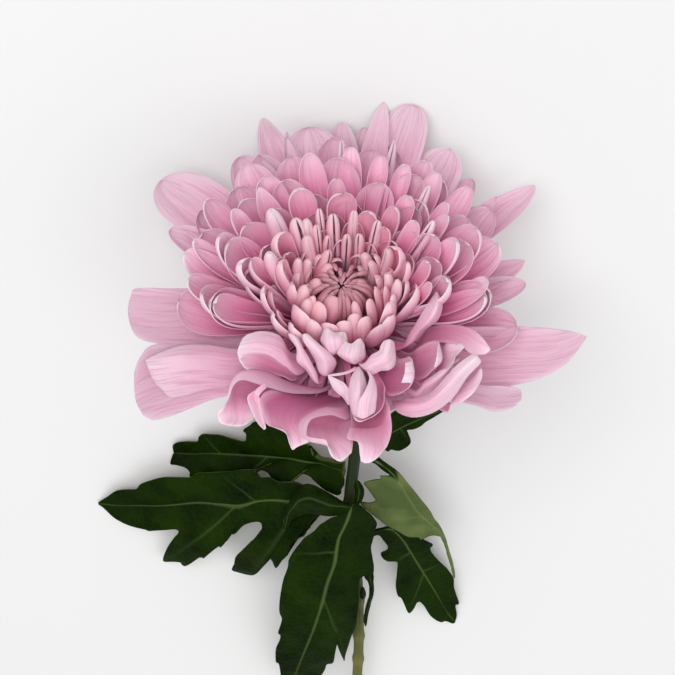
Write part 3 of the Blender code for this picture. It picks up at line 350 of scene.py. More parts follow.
        ((-6.1, -18.8, 14), (-4, -19.5, 17), (-1.4, -19, 17), (1.2, -19.5, 14)),
        ((-6.5, -17.3, 14), (-4.3, -17, 17), (-1.4, -17, 17), (1.7, -17.7, 14)),
        ((-5.7, -14.9, 13), (-4.1, -14.8, 15), (-1.7, -15.6, 14), (1.2, -15.5, 13)),
        ((-5.2, -14.3, 12.5), (-4.3, -14, 14), (-2.3, -15.3, 13.5), (0.4, -14.9, 12.5)))),
    "second_notched_scale": (3, 1.0, 0.8, (
        ((2.6, -24.2, 14), (3.4, -24.4, 14), (4.1, -24.2, 14), (5, -23.5, 14)),
        ((-1.4, -22, 16), (1.2, -23, 19), (3.4, -23.7, 19), (7, -22.8, 16)),
        ((-1, -20, 16), (1.2, -21, 19), (4.1, -21, 19), (6.9, -20.2, 16)),
        ((0.4, -18, 15), (2.3, -19, 17), (4.1, -18.6, 17), (6.6, -18.6, 15)),
        ((0.8, -17.7, 14.5), (2.8, -18.9, 16), (4.3, -17.6, 16), (5.6, -17, 15)))),
    "white_tip": (3, 0.7, 0.8, (
        ((5.5, -24.8, 17), (6.1, -26, 19), (7.7, -27.5, 17)),
        ((8.8, -22.2, 19), (9.9, -24.6, 22), (11.7, -27, 19)),
        ((11, -21, 20), (12.8, -23, 23), (14.3, -26.7, 20)),
        ((11.5, -19.5, 20), (13.9, -20.6, 22), (16.1, -24.6, 19)),
        ((12.4, -18.1, 19), (14.3, -18.1, 20), (15.8, -19.5, 18)),
        ((13.2, -17.8, 18.5), (14.3, -17.6, 19), (15.5, -18.2, 18)))),
    "pointed_boat": (6, 1.6, 0.8, (
        ((16.1, -20.6, 8), (18, -19.5, 10), (19.8, -18.2, 10)),
        ((20.6, -14.7, 12), (22.5, -15, 15), (25, -14.2, 13)),
        ((23.3, -10.4, 14), (26, -11.5, 19), (28.7, -11.5, 15)),
        ((25.2, -7, 14), (28, -8, 20), (30.1, -7.7, 15)),
        ((27, -4.5, 14), (28.7, -5, 17), (29.8, -5.3, 14)),
        ((28, -2.8, 13), (28.4, -2.8, 13.5), (28.7, -3.2, 13)))),
    "arching": (4, 2.2, 0.8, (
        ((19, -21, 3), (19.3, -20.6, 3), (20, -19.8, 3)),
        ((25, -18.7, 9), (25.2, -16.6, 7), (25.7, -13.9, 6)),
        ((30.3, -18.2, 13), (30.8, -15.5, 11), (31.3, -12.6, 9)),
        ((35.6, -19.5, 16), (36.7, -16.6, 15), (37.5, -13.6, 13)),
        ((39, -22, 18), (40.7, -19.3, 18), (41.5, -16.3, 17)),
        ((43, -22, 19), (44.2, -21, 19.5), (44.5, -20.3, 19.5)))),
    "first_shell": (2, 2.6, 0.8, (
        ((16.3, -22.7, 5), (18, -22.2, 4), (19.3, -21, 5)),
        ((21.2, -29, 11), (21.7, -25, 9), (22.5, -19.8, 9)),
        ((24.4, -29.2, 16), (25, -24, 11), (25.7, -18.2, 12)),
        ((27, -27, 19), (28, -22.5, 14), (28.4, -17.8, 14)),
        ((28.4, -26, 21), (30, -23.3, 19), (29, -18.2, 16)),
        ((27.6, -26.2, 23), (28.4, -22.7, 22), (28.7, -19.3, 18)))),
    "second_shell": (5, 2.0, 0.8, (
        ((23.3, -31, 14), (25, -29.2, 13), (26, -27.8, 13)),
        ((27, -29.2, 17), (28.7, -26.2, 14), (29.7, -21, 12)),
        ((30.3, -27, 20), (31, -23.5, 16), (31.3, -18.2, 14)),
        ((32.7, -25.4, 21), (33.5, -22.5, 18), (34.8, -18.2, 16)),
        ((33.8, -23, 22), (34.6, -22, 20), (37, -19.5, 18)))),
    "third_shell": (5, 1.8, 0.8, (
        ((20, -32, 15), (19.8, -33, 15), (20.6, -34.3, 14)),
        ((25, -29.7, 19), (25, -31.6, 20), (25, -34, 16)),
        ((29.2, -27, 22), (29.2, -29, 23), (28.7, -31.3, 19)),
        ((32.2, -26, 23), (31.3, -27.3, 23), (30.8, -29, 21)),
        ((34, -22.5, 23), (33.5, -24.4, 23), (32.7, -25.7, 22)))),
    "lower_boat": (5, 1.3, 0.8, (
        ((13, -34, 10), (13.4, -34.5, 11), (14, -35.6, 10)),
        ((20, -35.2, 18), (19.8, -37.8, 21), (20, -40.6, 17)),
        ((26, -34, 22), (26.5, -36.7, 25), (27.3, -39.5, 20)),
        ((31.3, -28.6, 24), (32.2, -31.6, 27), (33.5, -34.8, 21)),
        ((34.6, -25.2, 24), (36, -27, 26), (37.5, -29, 22)),
        ((38.3, -22.5, 23), (40, -23.5, 25), (41.3, -25, 22)),
        ((39.7, -22, 22), (40.7, -22.7, 23), (41.6, -24, 22)))),
    "grey_back": (3, 1.2, 0.8, (
        ((28.7, -38, 12), (29.7, -37, 11), (30.8, -35.6, 10)),
        ((32.7, -36.7, 15), (34, -34.3, 15), (35.6, -31, 13)),
        ((35.4, -36.7, 17), (37.8, -33.2, 18), (39, -29, 16)),
        ((39, -34, 19), (40.7, -31, 19.5), (41.3, -26.2, 18)),
        ((40.7, -31.6, 20), (41.8, -29.4, 20), (42, -26.8, 19)))),
    "white_curl": (3, 2.6, 0.8, (
        ((10.4, -29.2, 12), (11.5, -27, 11), (13, -25.2, 11)),
        ((13.4, -34, 17), (14, -30.3, 14), (15.8, -23.5, 13)),
        ((16.3, -34.3, 20), (17.7, -30.5, 16), (18.7, -23, 15)),
        ((19, -33, 22), (20.6, -30.5, 20), (20, -22.6, 17)),
        ((20.6, -31, 23), (21.5, -27.6, 23), (21, -23.8, 20)),
        ((17.7, -30.8, 24), (18.7, -27.8, 24), (18.9, -24.6, 21)))),
}
# Half the width of a ruffled petal's root.
RUFFLED_ROOT = 1.6

# Stem centreline in the world with the radius at each point, from the bloom down to the cut.
STEM_PATH = (
    (5.0, 91.6, 37.8, 3.3),
    (7.2, 78.0, 32.2, 2.6),
    (9.4, 62.0, 28.2, 2.1),
    (9.4, 44.0, 25.0, 1.9),
    (7.9, 24.0, 21.6, 1.9),
    (9.6, 4.0, 18.6, 1.8),
    (11.2, -20.0, 15.4, 1.75),
    (11.3, -48.0, 11.4, 1.75),
    (9.6, -80.0, 6.8, 1.8),
    (7.2, -106.0, 3.2, 1.9),
    (5.4, -122.0, 2.05, 2.0),
    (2.6, -148.0, 2.0, 2.1),
)
# Shares of the stem's length where leaves grow or grew, and how far a swelling there spreads and stands.
STEM_NODES = (0.29, 0.37, 0.47, 0.539, 0.586, 0.66, 0.79, 0.93)
JOINT_SHARE = 0.008
JOINT_SWELL = 0.45

# Leaves, in mm as seen at LEAF_DEPTH from the camera. The midrib's points are (right, up, height over
# the table). Each margin's points are (percent of the midrib where their side vein starts, right, up).
# A side vein is (-1 lower or 1 upper half, percent of the midrib).
LEAVES = {
    "leaf_left": dict(
        midrib=((0.6, -59.9, 21), (-7.9, -59.5, 19.5), (-17.5, -58.9, 17), (-27.1, -58.9, 14.6),
                (-34.9, -60.6, 12.6), (-41.5, -60.2, 11), (-49.9, -59.6, 9.2), (-62.4, -60.6, 6),
                (-71.4, -60.6, 3.6), (-80.4, -60.5, 1.4), (-86.4, -59.8, 0.4)),
        upper=((0, -0.1, -59), (4, -5.5, -57), (6.5, -10, -54.4), (9, -15.1, -52.4),
               (12, -18.1, -52.4), (15, -21.7, -52), (18, -24.7, -50.5), (20.5, -27.7, -50.5),
               (23, -30.1, -48.1), (25, -32.5, -47.7), (29, -37.3, -48.2), (33, -42.7, -48.7),
               (42, -50.5, -49), (46, -53.2, -50.5), (51, -57.7, -50.5), (58, -63.6, -50.6),
               (65, -68.4, -52), (69, -71.4, -53.2), (72, -72.9, -54.8), (79, -77.4, -55),
               (85, -80.4, -55.6), (92, -83.4, -57.7), (100, -86.4, -59.5)),
        lower=((0, 0.5, -60.6), (1, -3.1, -60.9), (2.5, -7.3, -63.3), (4, -10, -66.3),
               (5.2, -12.1, -69.9), (6.4, -13.8, -72.3), (7.6, -16, -74.4), (8.4, -18.1, -77.1),
               (9.4, -20.5, -81.3), (10.4, -22.3, -83), (11.4, -23.8, -80.1), (12.2, -25, -80.1),
               (13, -27.1, -83.1), (14, -29.5, -85.5), (15, -31.9, -85.8), (16, -35.5, -84.9),
               (17, -38.2, -84), (18, -37.3, -81.9), (19, -36.7, -79.2), (20.5, -31.9, -74.7),
               (22.5, -28.9, -71.7), (24.5, -27.4, -69.6), (27, -27.5, -67.2), (30, -28.9, -66.5),
               (31.5, -31.9, -66.9), (32.5, -34.3, -68.1), (33.5, -37, -71), (34.2, -38.5, -71.1),
               (35.2, -41.8, -75.6), (36, -43.3, -75.6), (37, -48.1, -79.6), (37.8, -49.6, -79.2),
               (38.7, -53.5, -81.9), (39.4, -55.6, -82.5), (40, -56.8, -81.1), (40.7, -59.5, -81),
               (41.8, -63, -80.7), (44, -61.8, -76.5), (47, -59.5, -72.9), (50, -57.5, -70.5),
               (52, -58.3, -69.3), (58, -62.4, -69.5), (65, -67.8, -69.9), (68, -69.6, -69.3),
               (78, -75.6, -67.8), (87, -79.8, -65.7), (94, -82.8, -63.3), (100, -86.4, -60)),
        veins=((1, 33), (-1, 41.8), (-1, 15)), fold=0.10, droop=0.008),
    "leaf_rear_left": dict(
        midrib=((2.2, -47.4, 22.4), (-3.1, -46, 19.4), (-11.5, -44.8, 14), (-23.5, -43, 9),
                (-35.5, -42.2, 5.6), (-46.3, -41.8, 3.2), (-52.3, -42, 1.8), (-59.1, -41.5, 0.4)),
        upper=((0, 2.4, -45), (2, 0.6, -45.4), (4, -3, -44.3), (6.5, -6, -43.8), (9, -8.8, -42),
               (11.5, -10.3, -39), (15, -13.9, -38), (20, -18.7, -34.6), (25, -23.5, -32.2),
               (31, -29.5, -30.4), (36, -31.9, -31.9), (40, -34, -33.4), (43, -33.1, -34.6),
               (46, -33.2, -37), (50, -34.3, -37.5), (56, -38.5, -36.4), (62, -42.4, -35.3),
               (68, -45.1, -35.1), (73, -48.7, -34.9), (77, -50.2, -36.1), (80, -50.8, -37.7),
               (86, -54.7, -37.5), (91, -57.7, -37.9), (96, -59.5, -39.1), (100, -59.1, -41.3)),
        lower=((0, 2.2, -51), (1, 1.2, -56), (3, -1.2, -56), (5.5, -4.5, -54.6), (7.5, -6.3, -53.4),
               (10, -8.5, -51.6), (12, -9.6, -50.4), (14, -11.3, -49.6), (16, -13.1, -49.4),
               (18, -15.1, -50.8), (21, -18.7, -53.8), (25, -22.3, -52.9), (30, -25.3, -48.7),
               (35, -29.5, -47.9), (39, -31.9, -49.9), (43, -35.5, -53.8), (48, -40.3, -54.4),
               (54, -43.9, -52.6), (60, -47.5, -53.2), (66, -51.1, -52.6), (72, -53.2, -50.5),
               (78, -53.5, -48.4), (84, -55.3, -46.9), (92, -58.3, -46), (97, -60.3, -45.5),
               (100, -59.1, -41.7)),
        veins=((1, 73), (-1, 46)), fold=0.06, droop=0.004),
    "leaf_front": dict(
        midrib=((5.8, -60.4, 26.6), (4.2, -64.4, 28.6), (2.4, -68.2, 29.5), (0.4, -72.8, 29.8),
                (-1.1, -81.9, 29.4), (-3.7, -89, 28), (-5.4, -95.6, 26.4), (-8.2, -104.2, 23.6),
                (-11.3, -111.8, 20.4), (-15.1, -121, 15.6), (-17.6, -129.1, 10.6)),
        upper=((0, 4.2, -59.9), (3, 0.4, -64.2), (5.5, -3.7, -66.2), (8, -6.2, -67.7),
               (11, -8.7, -70.3), (13.5, -11.8, -72.3), (16.5, -14.3, -75.3), (19, -16.3, -77.9),
               (22, -17.6, -80.4), (25, -17.9, -82.9), (29.5, -19.4, -87), (35, -20.4, -91.6),
               (40, -20.9, -95.6), (45, -20.9, -99.2), (49, -20.1, -101.4), (52, -20.4, -103.2),
               (56, -21.4, -106.5), (58.5, -20.6, -107.5), (61, -20.9, -109.3), (65, -22.2, -112.3),
               (72, -22.3, -116.9), (75, -21.2, -117.9), (82, -20.6, -121.7), (88, -20.4, -124.5),
               (94, -19.4, -127.3), (100, -18, -129.1)),
        lower=((0, 7, -60), (1.5, 8.4, -60.8), (3, 10.7, -62.8), (5, 13.8, -66.2), (8, 13.4, -69.2),
               (12, 12.6, -73.3), (14.5, 12.1, -75.8), (18, 12.6, -79.4), (21, 13.1, -82.9),
               (23, 12.6, -85.5), (25, 9.5, -86.2), (27, 8.1, -87), (30, 7.5, -90), (32, 7.6, -93.6),
               (34, 7.5, -97.1), (35.5, 7, -100.7), (37, 6.5, -104.2), (38.5, 5, -107.8),
               (40, 3.9, -111.3), (41, 2.9, -114.4), (42.3, 2.4, -116.9), (44, 1.8, -113.9),
               (45.5, 1.1, -110.3), (47.5, 0.5, -108.4), (52, -0.2, -110.8), (60, -0.9, -114.4),
               (68, -1.6, -117.4), (74, -3.8, -118), (79, -4.6, -119.9), (84, -5.7, -121.7),
               (90, -8.2, -124.5), (96, -13.3, -127.8), (100, -17.3, -129.1)),
        veins=((1, 19), (-1, 41)), fold=-0.10, droop=0.006),
    "leaf_right": dict(
        midrib=((9, -41.5, 25.6), (11.5, -43, 25.6), (14.7, -45, 25.4), (18.6, -48, 25.2),
                (21.5, -51.2, 25), (24, -55, 24.6), (26.2, -58.8, 24.2), (28.4, -62, 23.4),
                (31, -64.8, 22.4), (33.6, -67.2, 21.4), (36.6, -69.7, 20.4), (38.6, -73.2, 18.8),
                (40, -77.5, 16.8), (41.3, -82.2, 14.4), (42.2, -87, 12)),
        upper=((0, 9.2, -40.9), (6, 12.2, -42), (12, 15.4, -44.1), (18, 18.5, -46), (25, 22.6, -49.4),
               (31, 26.4, -53.9), (37, 29.8, -58.1), (44, 32.8, -61.6), (53, 34.9, -65.2),
               (61, 36.3, -67.2), (68, 37.5, -69.3), (75, 39.2, -73.2), (83, 40.4, -77.5),
               (91, 41.7, -82.1), (100, 42.4, -87)),
        lower=((0, 8.8, -42.1), (6, 11.2, -43.7), (12, 14, -45.9), (18, 16.8, -48.1),
               (23, 18.8, -49.9), (25, 15.5, -49.9), (26.5, 15.8, -51.1), (28.5, 13.3, -51.4),
               (31, 9.6, -52.5), (33.5, 11, -54.4), (38, 13.5, -58.2), (40, 13.4, -59.4),
               (42, 11.2, -59.9), (44, 8.3, -59.5), (45.5, 9.7, -61.5), (48.5, 14.5, -65.3),
               (50.5, 17.6, -67.7), (53.5, 20.7, -69.3), (56.5, 23.7, -71), (59, 25.7, -71.8),
               (62, 29.3, -72.1), (63, 29.9, -73.1), (64, 30.8, -72), (66, 33.3, -71.1),
               (69, 36, -70), (75, 38.1, -73.4), (83, 39.6, -77.9), (91.5, 41, -82.3),
               (100, 42, -86.7)),
        veins=((1, 40), (1, 55), (-1, 48.5), (-1, 59)), fold=0.03, droop=0.008, turned=True),
    "leaf_lower_right": dict(
        midrib=((8.3, -69.2, 19.2), (11.5, -70.4, 18.6), (14.6, -70, 18), (17.1, -69.2, 17.4),
                (20.2, -69.8, 16.6), (23.7, -73.3, 14.4), (27.3, -78.9, 11.4), (30.8, -84.5, 8.4),
                (34.1, -90, 5.8), (37.1, -95.1, 3.6), (39.9, -99.7, 1.6), (42.4, -102.8, 0.4)),
        upper=((0, 8.3, -68.5), (6, 11.5, -69.5), (12, 15.1, -69), (18, 17.6, -68.2),
               (23, 20.7, -68.2), (28, 24.7, -70.3), (33, 28.8, -71.8), (38, 32.8, -73.8),
               (42, 34.4, -74.8), (45, 33.5, -76.1), (49, 34.5, -78.4), (55, 37.4, -81.4),
               (61, 39.9, -83.9), (67, 41.9, -87), (73, 42.1, -90), (79, 43, -93.1),
               (85, 43.9, -96.1), (88, 42.7, -96.7), (94, 43.1, -100.2), (100, 42.5, -102.7)),
        lower=((0, 8.3, -70), (6, 11.5, -71.2), (12, 14.6, -71), (20, 16.6, -73.3), (25, 18.1, -75.3),
               (29, 17.9, -76.8), (33.1, 15.7, -77.9), (35, 16.4, -79.6), (36.5, 18.1, -80.7),
               (38, 21.2, -80.9), (39, 21.7, -81.9), (42, 21.4, -86), (46, 21.1, -90),
               (49, 21.7, -93.1), (51.5, 23, -94.1), (54, 24.2, -96.6), (56.5, 25.7, -99.4),
               (59, 27.3, -98.1), (62, 28.5, -95.9), (65.5, 29.8, -95.5), (69, 31.3, -97.1),
               (74, 33.3, -100.2), (79, 35.4, -101.9), (85, 37.4, -102.8), (90, 38.9, -102.5),
               (96, 41.4, -103.3), (100, 42.3, -103)),
        veins=((1, 55), (-1, 56.5), (-1, 38)), fold=0.05, droop=0.004),
    "leaf_rear_right": dict(
        midrib=((9.1, -37.7, 25.4), (14.4, -36, 22), (20, -34, 18.4), (26, -31, 14.6),
                (32, -28.5, 11.4), (38, -26, 8.6), (41.4, -24.4, 7)),
        upper=((0, 9.1, -37), (12, 14, -33), (25, 18, -29), (38, 22, -26), (45, 24, -28),
               (56, 29, -24), (70, 33, -22), (80, 36, -24), (90, 39, -23.5), (100, 41.5, -24.1)),
        lower=((0, 9.1, -38.5), (12, 14, -38.5), (20, 17, -40.5), (25, 18.3, -41.2),
               (28, 19.3, -40.5), (33, 22.1, -40.8), (38, 24.8, -39.6), (42, 26.3, -38),
               (46, 25.9, -36), (50, 24.9, -33.7), (56, 27.3, -33.2), (64, 29.8, -32),
               (71, 32.1, -30.1), (81, 35.8, -28.3), (90, 38.5, -26.6), (100, 41.2, -24.7)),
        veins=((-1, 42),), fold=0.05, droop=0.006),
}

# Half widths of a leaf's midrib and side veins, the height of the waves of its blade, and the
# thickening of its stalk at these shares of its length.
MIDRIB_WIDTH = 0.27
VEIN_WIDTH = 0.4
BUCKLE = 0.35
STALK_THICKENING = ((0, 0.06, 0.14, 1), (1.7, 1.5, 0, 0))

# Lobes that stand off a leaf's blade: rows of (right, up, height) from one margin to the other.
LOBES = {
    "leaf_front_curl": ("leaf_front", (
        ((5.6, -59.8, 26.6), (5, -61.6, 27.8), (4.4, -64.2, 28.4)),
        ((2.1, -59.4, 27.6), (2.4, -61, 29), (1.6, -64.2, 28.2)),
        ((-1.6, -57.1, 27), (-2.2, -60.6, 29.2), (-3.2, -64.4, 26.8)),
        ((-5.7, -54.7, 25.8), (-6.7, -59.1, 28.4), (-7.7, -63.8, 25.2)),
        ((-9.8, -53, 24.6), (-10.2, -58, 27.4), (-11, -63.6, 24.4)),
        ((-13.3, -53.6, 23.4), (-13.6, -58.8, 26), (-12.8, -64, 23.6)),
        ((-15.8, -57.1, 22.6), (-15.8, -61.2, 24.4), (-15.1, -65, 22.8)),
        ((-17.9, -60.6, 21.8), (-17.6, -63.7, 23), (-16.6, -66, 22.2)),
        ((-19.3, -65.8, 21), (-18.4, -66.8, 21.4), (-17.5, -67.4, 21.2)),
        ((-19.6, -68.8, 20.4), (-19, -69.1, 20.5), (-18.3, -69.2, 20.4)))),
    "leaf_front_edge": ("leaf_front", (
        ((9.6, -81.6, 25), (11, -81.8, 25), (12.4, -82, 24.6)),
        ((9.7, -86.4, 25.6), (11.6, -86.6, 25.8), (13.1, -86.5, 25.2)),
        ((11.1, -88.6, 26), (12.2, -88.6, 25.8), (13, -88.6, 25.2)),
        ((11.6, -92.1, 24.8), (12.3, -92.2, 24.6), (12.9, -92.2, 24)),
        ((10.8, -95.7, 23.6), (11.6, -95.8, 23.4), (12.2, -95.7, 22.8)),
        ((9.8, -99.3, 22), (10.5, -99.2, 21.9), (11.2, -99, 21.4)),
        ((9.6, -102.3, 20.8), (10.1, -102.3, 20.7), (10.6, -102.2, 20.4)),
        ((10, -104.3, 20), (10.2, -104.3, 20), (10.4, -104.2, 19.9)))),
    "leaf_front_ear": ("leaf_front", (
        ((5.8, -59.8, 25.4), (7, -60, 26), (8.2, -59.8, 25.4)),
        ((6.2, -57.5, 24.8), (7.6, -57.6, 25.8), (9.3, -57.5, 24.8)),
        ((6.3, -55, 24.6), (7.8, -55, 25.4), (9.4, -54.9, 24.6)),
        ((6.2, -53, 24.4), (7.2, -52.8, 24.9), (8.4, -52.7, 24.4)),
        ((6.2, -51.4, 24.2), (6.6, -51.2, 24.3), (7, -51.2, 24.2)))),
    "leaf_front_bud": ("leaf_front", (
        ((8.6, -94.4, 17.4), (9.2, -94.6, 18.4), (9.8, -94.4, 17.4)),
        ((8.3, -93, 17.6), (9.3, -93, 18.8), (10.3, -93, 17.6)),
        ((8.5, -91.6, 17.8), (9.2, -91.6, 18.8), (9.9, -91.6, 17.8)),
        ((8.9, -90.2, 17.8), (9.1, -90.1, 18), (9.3, -90.2, 17.8)))),
}

# Profile of the heart under the petals and of the bract cup: (radius, height) about the axis.
HEART_PROFILE = ((4.0, -0.2), (11.0, 0.0), (11.4, 2.0), (10.4, 6.0), (8.6, 9.0), (6.0, 10.6), (2.0, 11.2))
INVOLUCRE_PROFILE = (
    (3.3, -8.6), (4.4, -8.2), (6.6, -7.2), (9.4, -4.8), (11.6, -1.9), (12.2, -0.4), (8.0, -0.3))
# Rows of bracts as (count, root reach, tip reach, root height, tip height).
BRACT_ROWS = ((9, 4.2, 11.6, -7.6, -4.0), (12, 7.6, 13.6, -5.6, -1.4), (14, 9.0, 14.6, -4.0, 0.4))
BRACT = dict(rise=15, turn=45, width=5.0, widest=0.5, blunt=1.8, full=1.6, rolls=(40, 40, 40, 40),
             wave=0.1, blade=0.5)

# Radians per millimetre of the wave that makes a petal's ribs.
RIB_RATE = 7.85
# What sets a Mix node to mix colours.
COLOUR_MIX = {"data_type": "RGBA"}


def linear(hexadecimal):
    """An sRGB hex colour as linear RGBA."""
    parts = [int(hexadecimal[i:i + 2], 16) / 255 for i in (1, 3, 5)]
    return [c / 12.92 if c <= 0.04045 else ((c + 0.055) / 1.055) ** 2.4 for c in parts] + [1.0]


def unit(vectors):
    """Each vector divided by its length."""
    return vectors / np.maximum(np.linalg.norm(vectors, axis=-1, keepdims=True), 1e-9)


def around(degrees, radius, height):
    """Points at these angles about the bloom's axis."""
    angles = np.radians(degrees)
    return np.stack([radius * np.cos(angles), radius * np.sin(angles),
                     height * np.ones_like(angles)], axis=-1)


def bloom_axes():
    """The bloom's own X, Y and Z in the world, as rows."""
    lean = math.radians(AXIS_LEAN)
    return np.array([
        [1.0, 0.0, 0.0],
        [0.0, math.cos(lean), -math.sin(lean)],
        [0.0, math.sin(lean), math.cos(lean)],
    ])


def bloom_to_world(points):
    """The bloom's frame set into the world: its X is the world's, its Z leans towards +Y."""
    return points @ bloom_axes() + np.array(BLOOM_FOOT)


def view_axes():
    """The camera's right, up and backward directions in the world."""
    steep = math.radians(VIEW_ELEVATION)
    right = np.array([1.0, 0.0, 0.0])
    up = np.array([0.0, math.sin(steep), -math.cos(steep)])
    return right, up, np.cross(right, up)


def view_tilt():
    """Sine and cosine of the angle between the bloom's face and the camera's picture plane."""
    steep = math.radians(VIEW_ELEVATION + AXIS_LEAN - 90.0)
    return math.sin(steep), math.cos(steep)


def camera_eye():
    """Where the camera stands: in front of the button, shifted so that the button is at its pixel."""
    right, up, back = view_axes()
    button = np.array(BLOOM_FOOT) + BUTTON_HEIGHT * bloom_axes()[2]
    aside = (np.array(BUTTON_PIXEL) - PICTURE_PIXELS / 2) / FOCAL_PIXELS * VIEW_DISTANCE
    return button + VIEW_DISTANCE * back - aside[0] * right + aside[1] * up


def seen_on_plane(seen, heights):
    """World points at these heights over the table that are seen at (right, up) of the view's middle:
    each ray from the eye is followed until it comes down to its height."""
    right, up, back = view_axes()
    rays = seen[..., :1] * right + seen[..., 1:2] * up - LEAF_DEPTH * back
    eye = camera_eye()
    return eye + (heights - eye[2])[..., None] / rays[..., 2:] * rays


def dome_at(reach, azimuth):
    """Where the rule puts a petal's tip, and its width, at this reach and azimuth: the dome's table read
    between its columns, lifted at the back of the rim and lowered by its dip at the front."""
    base = {key: float(np.interp(reach, DOME["reach"], row)) for key, row in DOME.items()}
    back = math.sin(math.radians(azimuth))
    lift = REAR_LIFT * np.clip((base["share"] - 0.7) / 0.3, 0, 1) * max(0.0, back) ** 1.5
    base["height"] += lift - base["dip"] * max(0.0, -back)
    return base


def tip_as_seen(right, up):
    """The (azimuth, reach, height) of the point of the dome seen at this place from the camera.

    A ray from the eye is followed by damped steps: the seen offset shrinks with nearness to the eye.
    """
    along, over = view_tilt()
    x, y, z = right, up / over, BUTTON_HEIGHT
    for _ in range(60):
        nearer = 1 - (-along * y + over * (z - BUTTON_HEIGHT)) / VIEW_DISTANCE
        x = right * nearer
        wanted = (up * nearer - along * (z - BUTTON_HEIGHT)) / over
        y += 0.4 * (wanted - y)
        azimuth = math.degrees(math.atan2(y, x))
        z = dome_at(math.hypot(x, y), azimuth)["height"]
    return azimuth, math.hypot(x, y), z


def floret_from(*parts):
    """A floret's measures: the usual ones, overridden by each part in turn. Its rolls count for both
    of its sides."""
    floret = dict(USUAL_FLORET)
    for part in parts:
        floret.update(part)
    return floret


def midline(floret, places):
    """A cubic Bezier from the root to the tip: middle points, tangents, sideways and inner-face
    directions at these shares of its length."""
    angle, swing = floret["azimuth"], floret["swing"]
    root = around(angle - swing, floret["root_reach"], floret["root_height"])
    tip = around(angle, floret["reach"], floret["height"])
    span = np.linalg.norm(tip - root)
    rise, turn = math.radians(floret["rise"]), math.radians(floret["turn"])
    up = np.array([0.0, 0.0, 1.0])
    leave = around(angle - swing, 1.0, 0.0) * math.cos(rise) + up * math.sin(rise)
    arrive = around(angle, 1.0, 0.0) * math.cos(turn) + up * math.sin(turn)
    first, second = root + floret["k0"] * span * leave, tip - floret["k1"] * span * arrive
    t = np.linspace(0, 1, 80)[:, None]
    path = ((1 - t) ** 3 * root + 3 * (1 - t) ** 2 * t * first
            + 3 * (1 - t) * t ** 2 * second + t ** 3 * tip)
    run = np.concatenate([[0.0], np.cumsum(np.linalg.norm(np.diff(path, axis=0), axis=1))])
    at = places * run[-1]
    middle = np.stack([np.interp(at, run, column) for column in path.T], axis=1)
    along = unit(np.stack([np.interp(at, run, np.gradient(column, run)) for column in path.T], axis=1))
    side = around(angle - swing * (1 - places) + 90, 1.0, 0.0)
    side = unit(side - (side * along).sum(axis=1)[:, None] * along)
    face = np.cross(along, side)
    turned = np.radians(floret["twist"]) * places[:, None] ** 1.5
    return (middle, along, side * np.cos(turned) + face * np.sin(turned),
            face * np.cos(turned) - side * np.sin(turned), at)


def petal_sheet(floret, rows, columns):
    """Middle surface of a petal as (rows, columns, 3), and its length along and width across in mm.

    Each cross-section starts on the midline and turns by an angle that grows towards its rims, so
    its points are the running sums of that angle's cosine and sine. The end is an ellipse-like
    curve, and the boat end lifts it to the rims.
    """
    places = 1 - (1 - np.linspace(0, 1, rows + 1)) ** 1.6
    # Columns lie closer together towards the rims.
    across = np.sin(np.linspace(-1, 1, columns + 1) * math.pi / 2 * 0.86) / math.sin(math.pi / 2 * 0.86)
    middle, along, side, face, run = midline(floret, places)
    widest = floret["widest"]
    beyond = np.clip((places - widest) / (1 - widest), 0, 1)
    end = np.maximum(1 - beyond ** floret["blunt"], 0) ** (1 / floret["full"])
    grown = floret["claw"] + (1 - floret["claw"]) * np.sin(
        np.clip(places / widest, 0, 1) * math.pi / 2) ** 1.3
    wide = 0.5 * floret["width"] * grown
    half = wide * end
    fine = np.linspace(-1, 1, 81)
    step = fine[1] - fine[0]
    roll = np.interp(places, ROLL_PLACES, floret["rolls"])[:, None]
    curl = np.interp(places, ROLL_PLACES, floret["curl"])[:, None]
    angle = np.radians(roll * fine + curl * fine ** 7)
    sums = []
    for rate in (np.cos(angle), np.sin(angle)):
        total = np.cumsum(0.5 * (rate[:, 1:] + rate[:, :-1]) * step, axis=1)
        total = np.concatenate([np.zeros((len(rate), 1)), total], axis=1)
        total -= total[:, 40:41]
        sums.append(np.stack([np.interp(across, fine, row) for row in total]))
    outwards, inwards = sums
    boat = floret["hood"] * 0.5 * (inwards[:, 0] + inwards[:, -1]) * (wide - half)
    outwards, inwards = outwards * half[:, None], inwards * half[:, None] + boat[:, None]
    groove = 0.5 * (np.cos(3 * math.pi * across)[None, :] - 1)
    inwards += floret["groove"] * half[:, None] * groove
    wave = floret["wave"] * np.sin(2 * math.pi * floret["wave_count"] * places + floret["phase"])
    rim = across ** 3 if floret["odd"] else across ** 2
    inwards += (wave * places ** 1.5)[:, None] * rim[None, :]
    outwards += (floret["lean"] * places ** 2)[:, None]
    sheet = (middle[:, None, :] + outwards[..., None] * side[:, None, :]
             + inwards[..., None] * face[:, None, :])
    notch = floret["notch"] * np.exp(-(across / 0.35) ** 2)[None, :] * (beyond ** 3)[:, None]
    sheet -= notch[..., None] * along[:, None, :]
    return sheet, places, across, run, wide


def curve_through(points, count):
    """A smooth curve through the rows of points, at this many even steps: each step is a cubic whose
    slope at a point is half the way between its neighbours."""
    padded = np.concatenate([2 * points[:1] - points[1:2], points, 2 * points[-1:] - points[-2:-1]])
    t = np.linspace(0, len(points) - 1, count)
    k = np.minimum(t.astype(int), len(points) - 2)
    f = (t - k).reshape((-1,) + (1,) * (points.ndim - 1))
    a, b, c, d = (padded[k + i] for i in range(4))
    return 0.5 * (2 * b + (c - a) * f + (2 * a - 5 * b + 4 * c - d) * f ** 2
                  + (3 * b - a - 3 * c + d) * f ** 3)


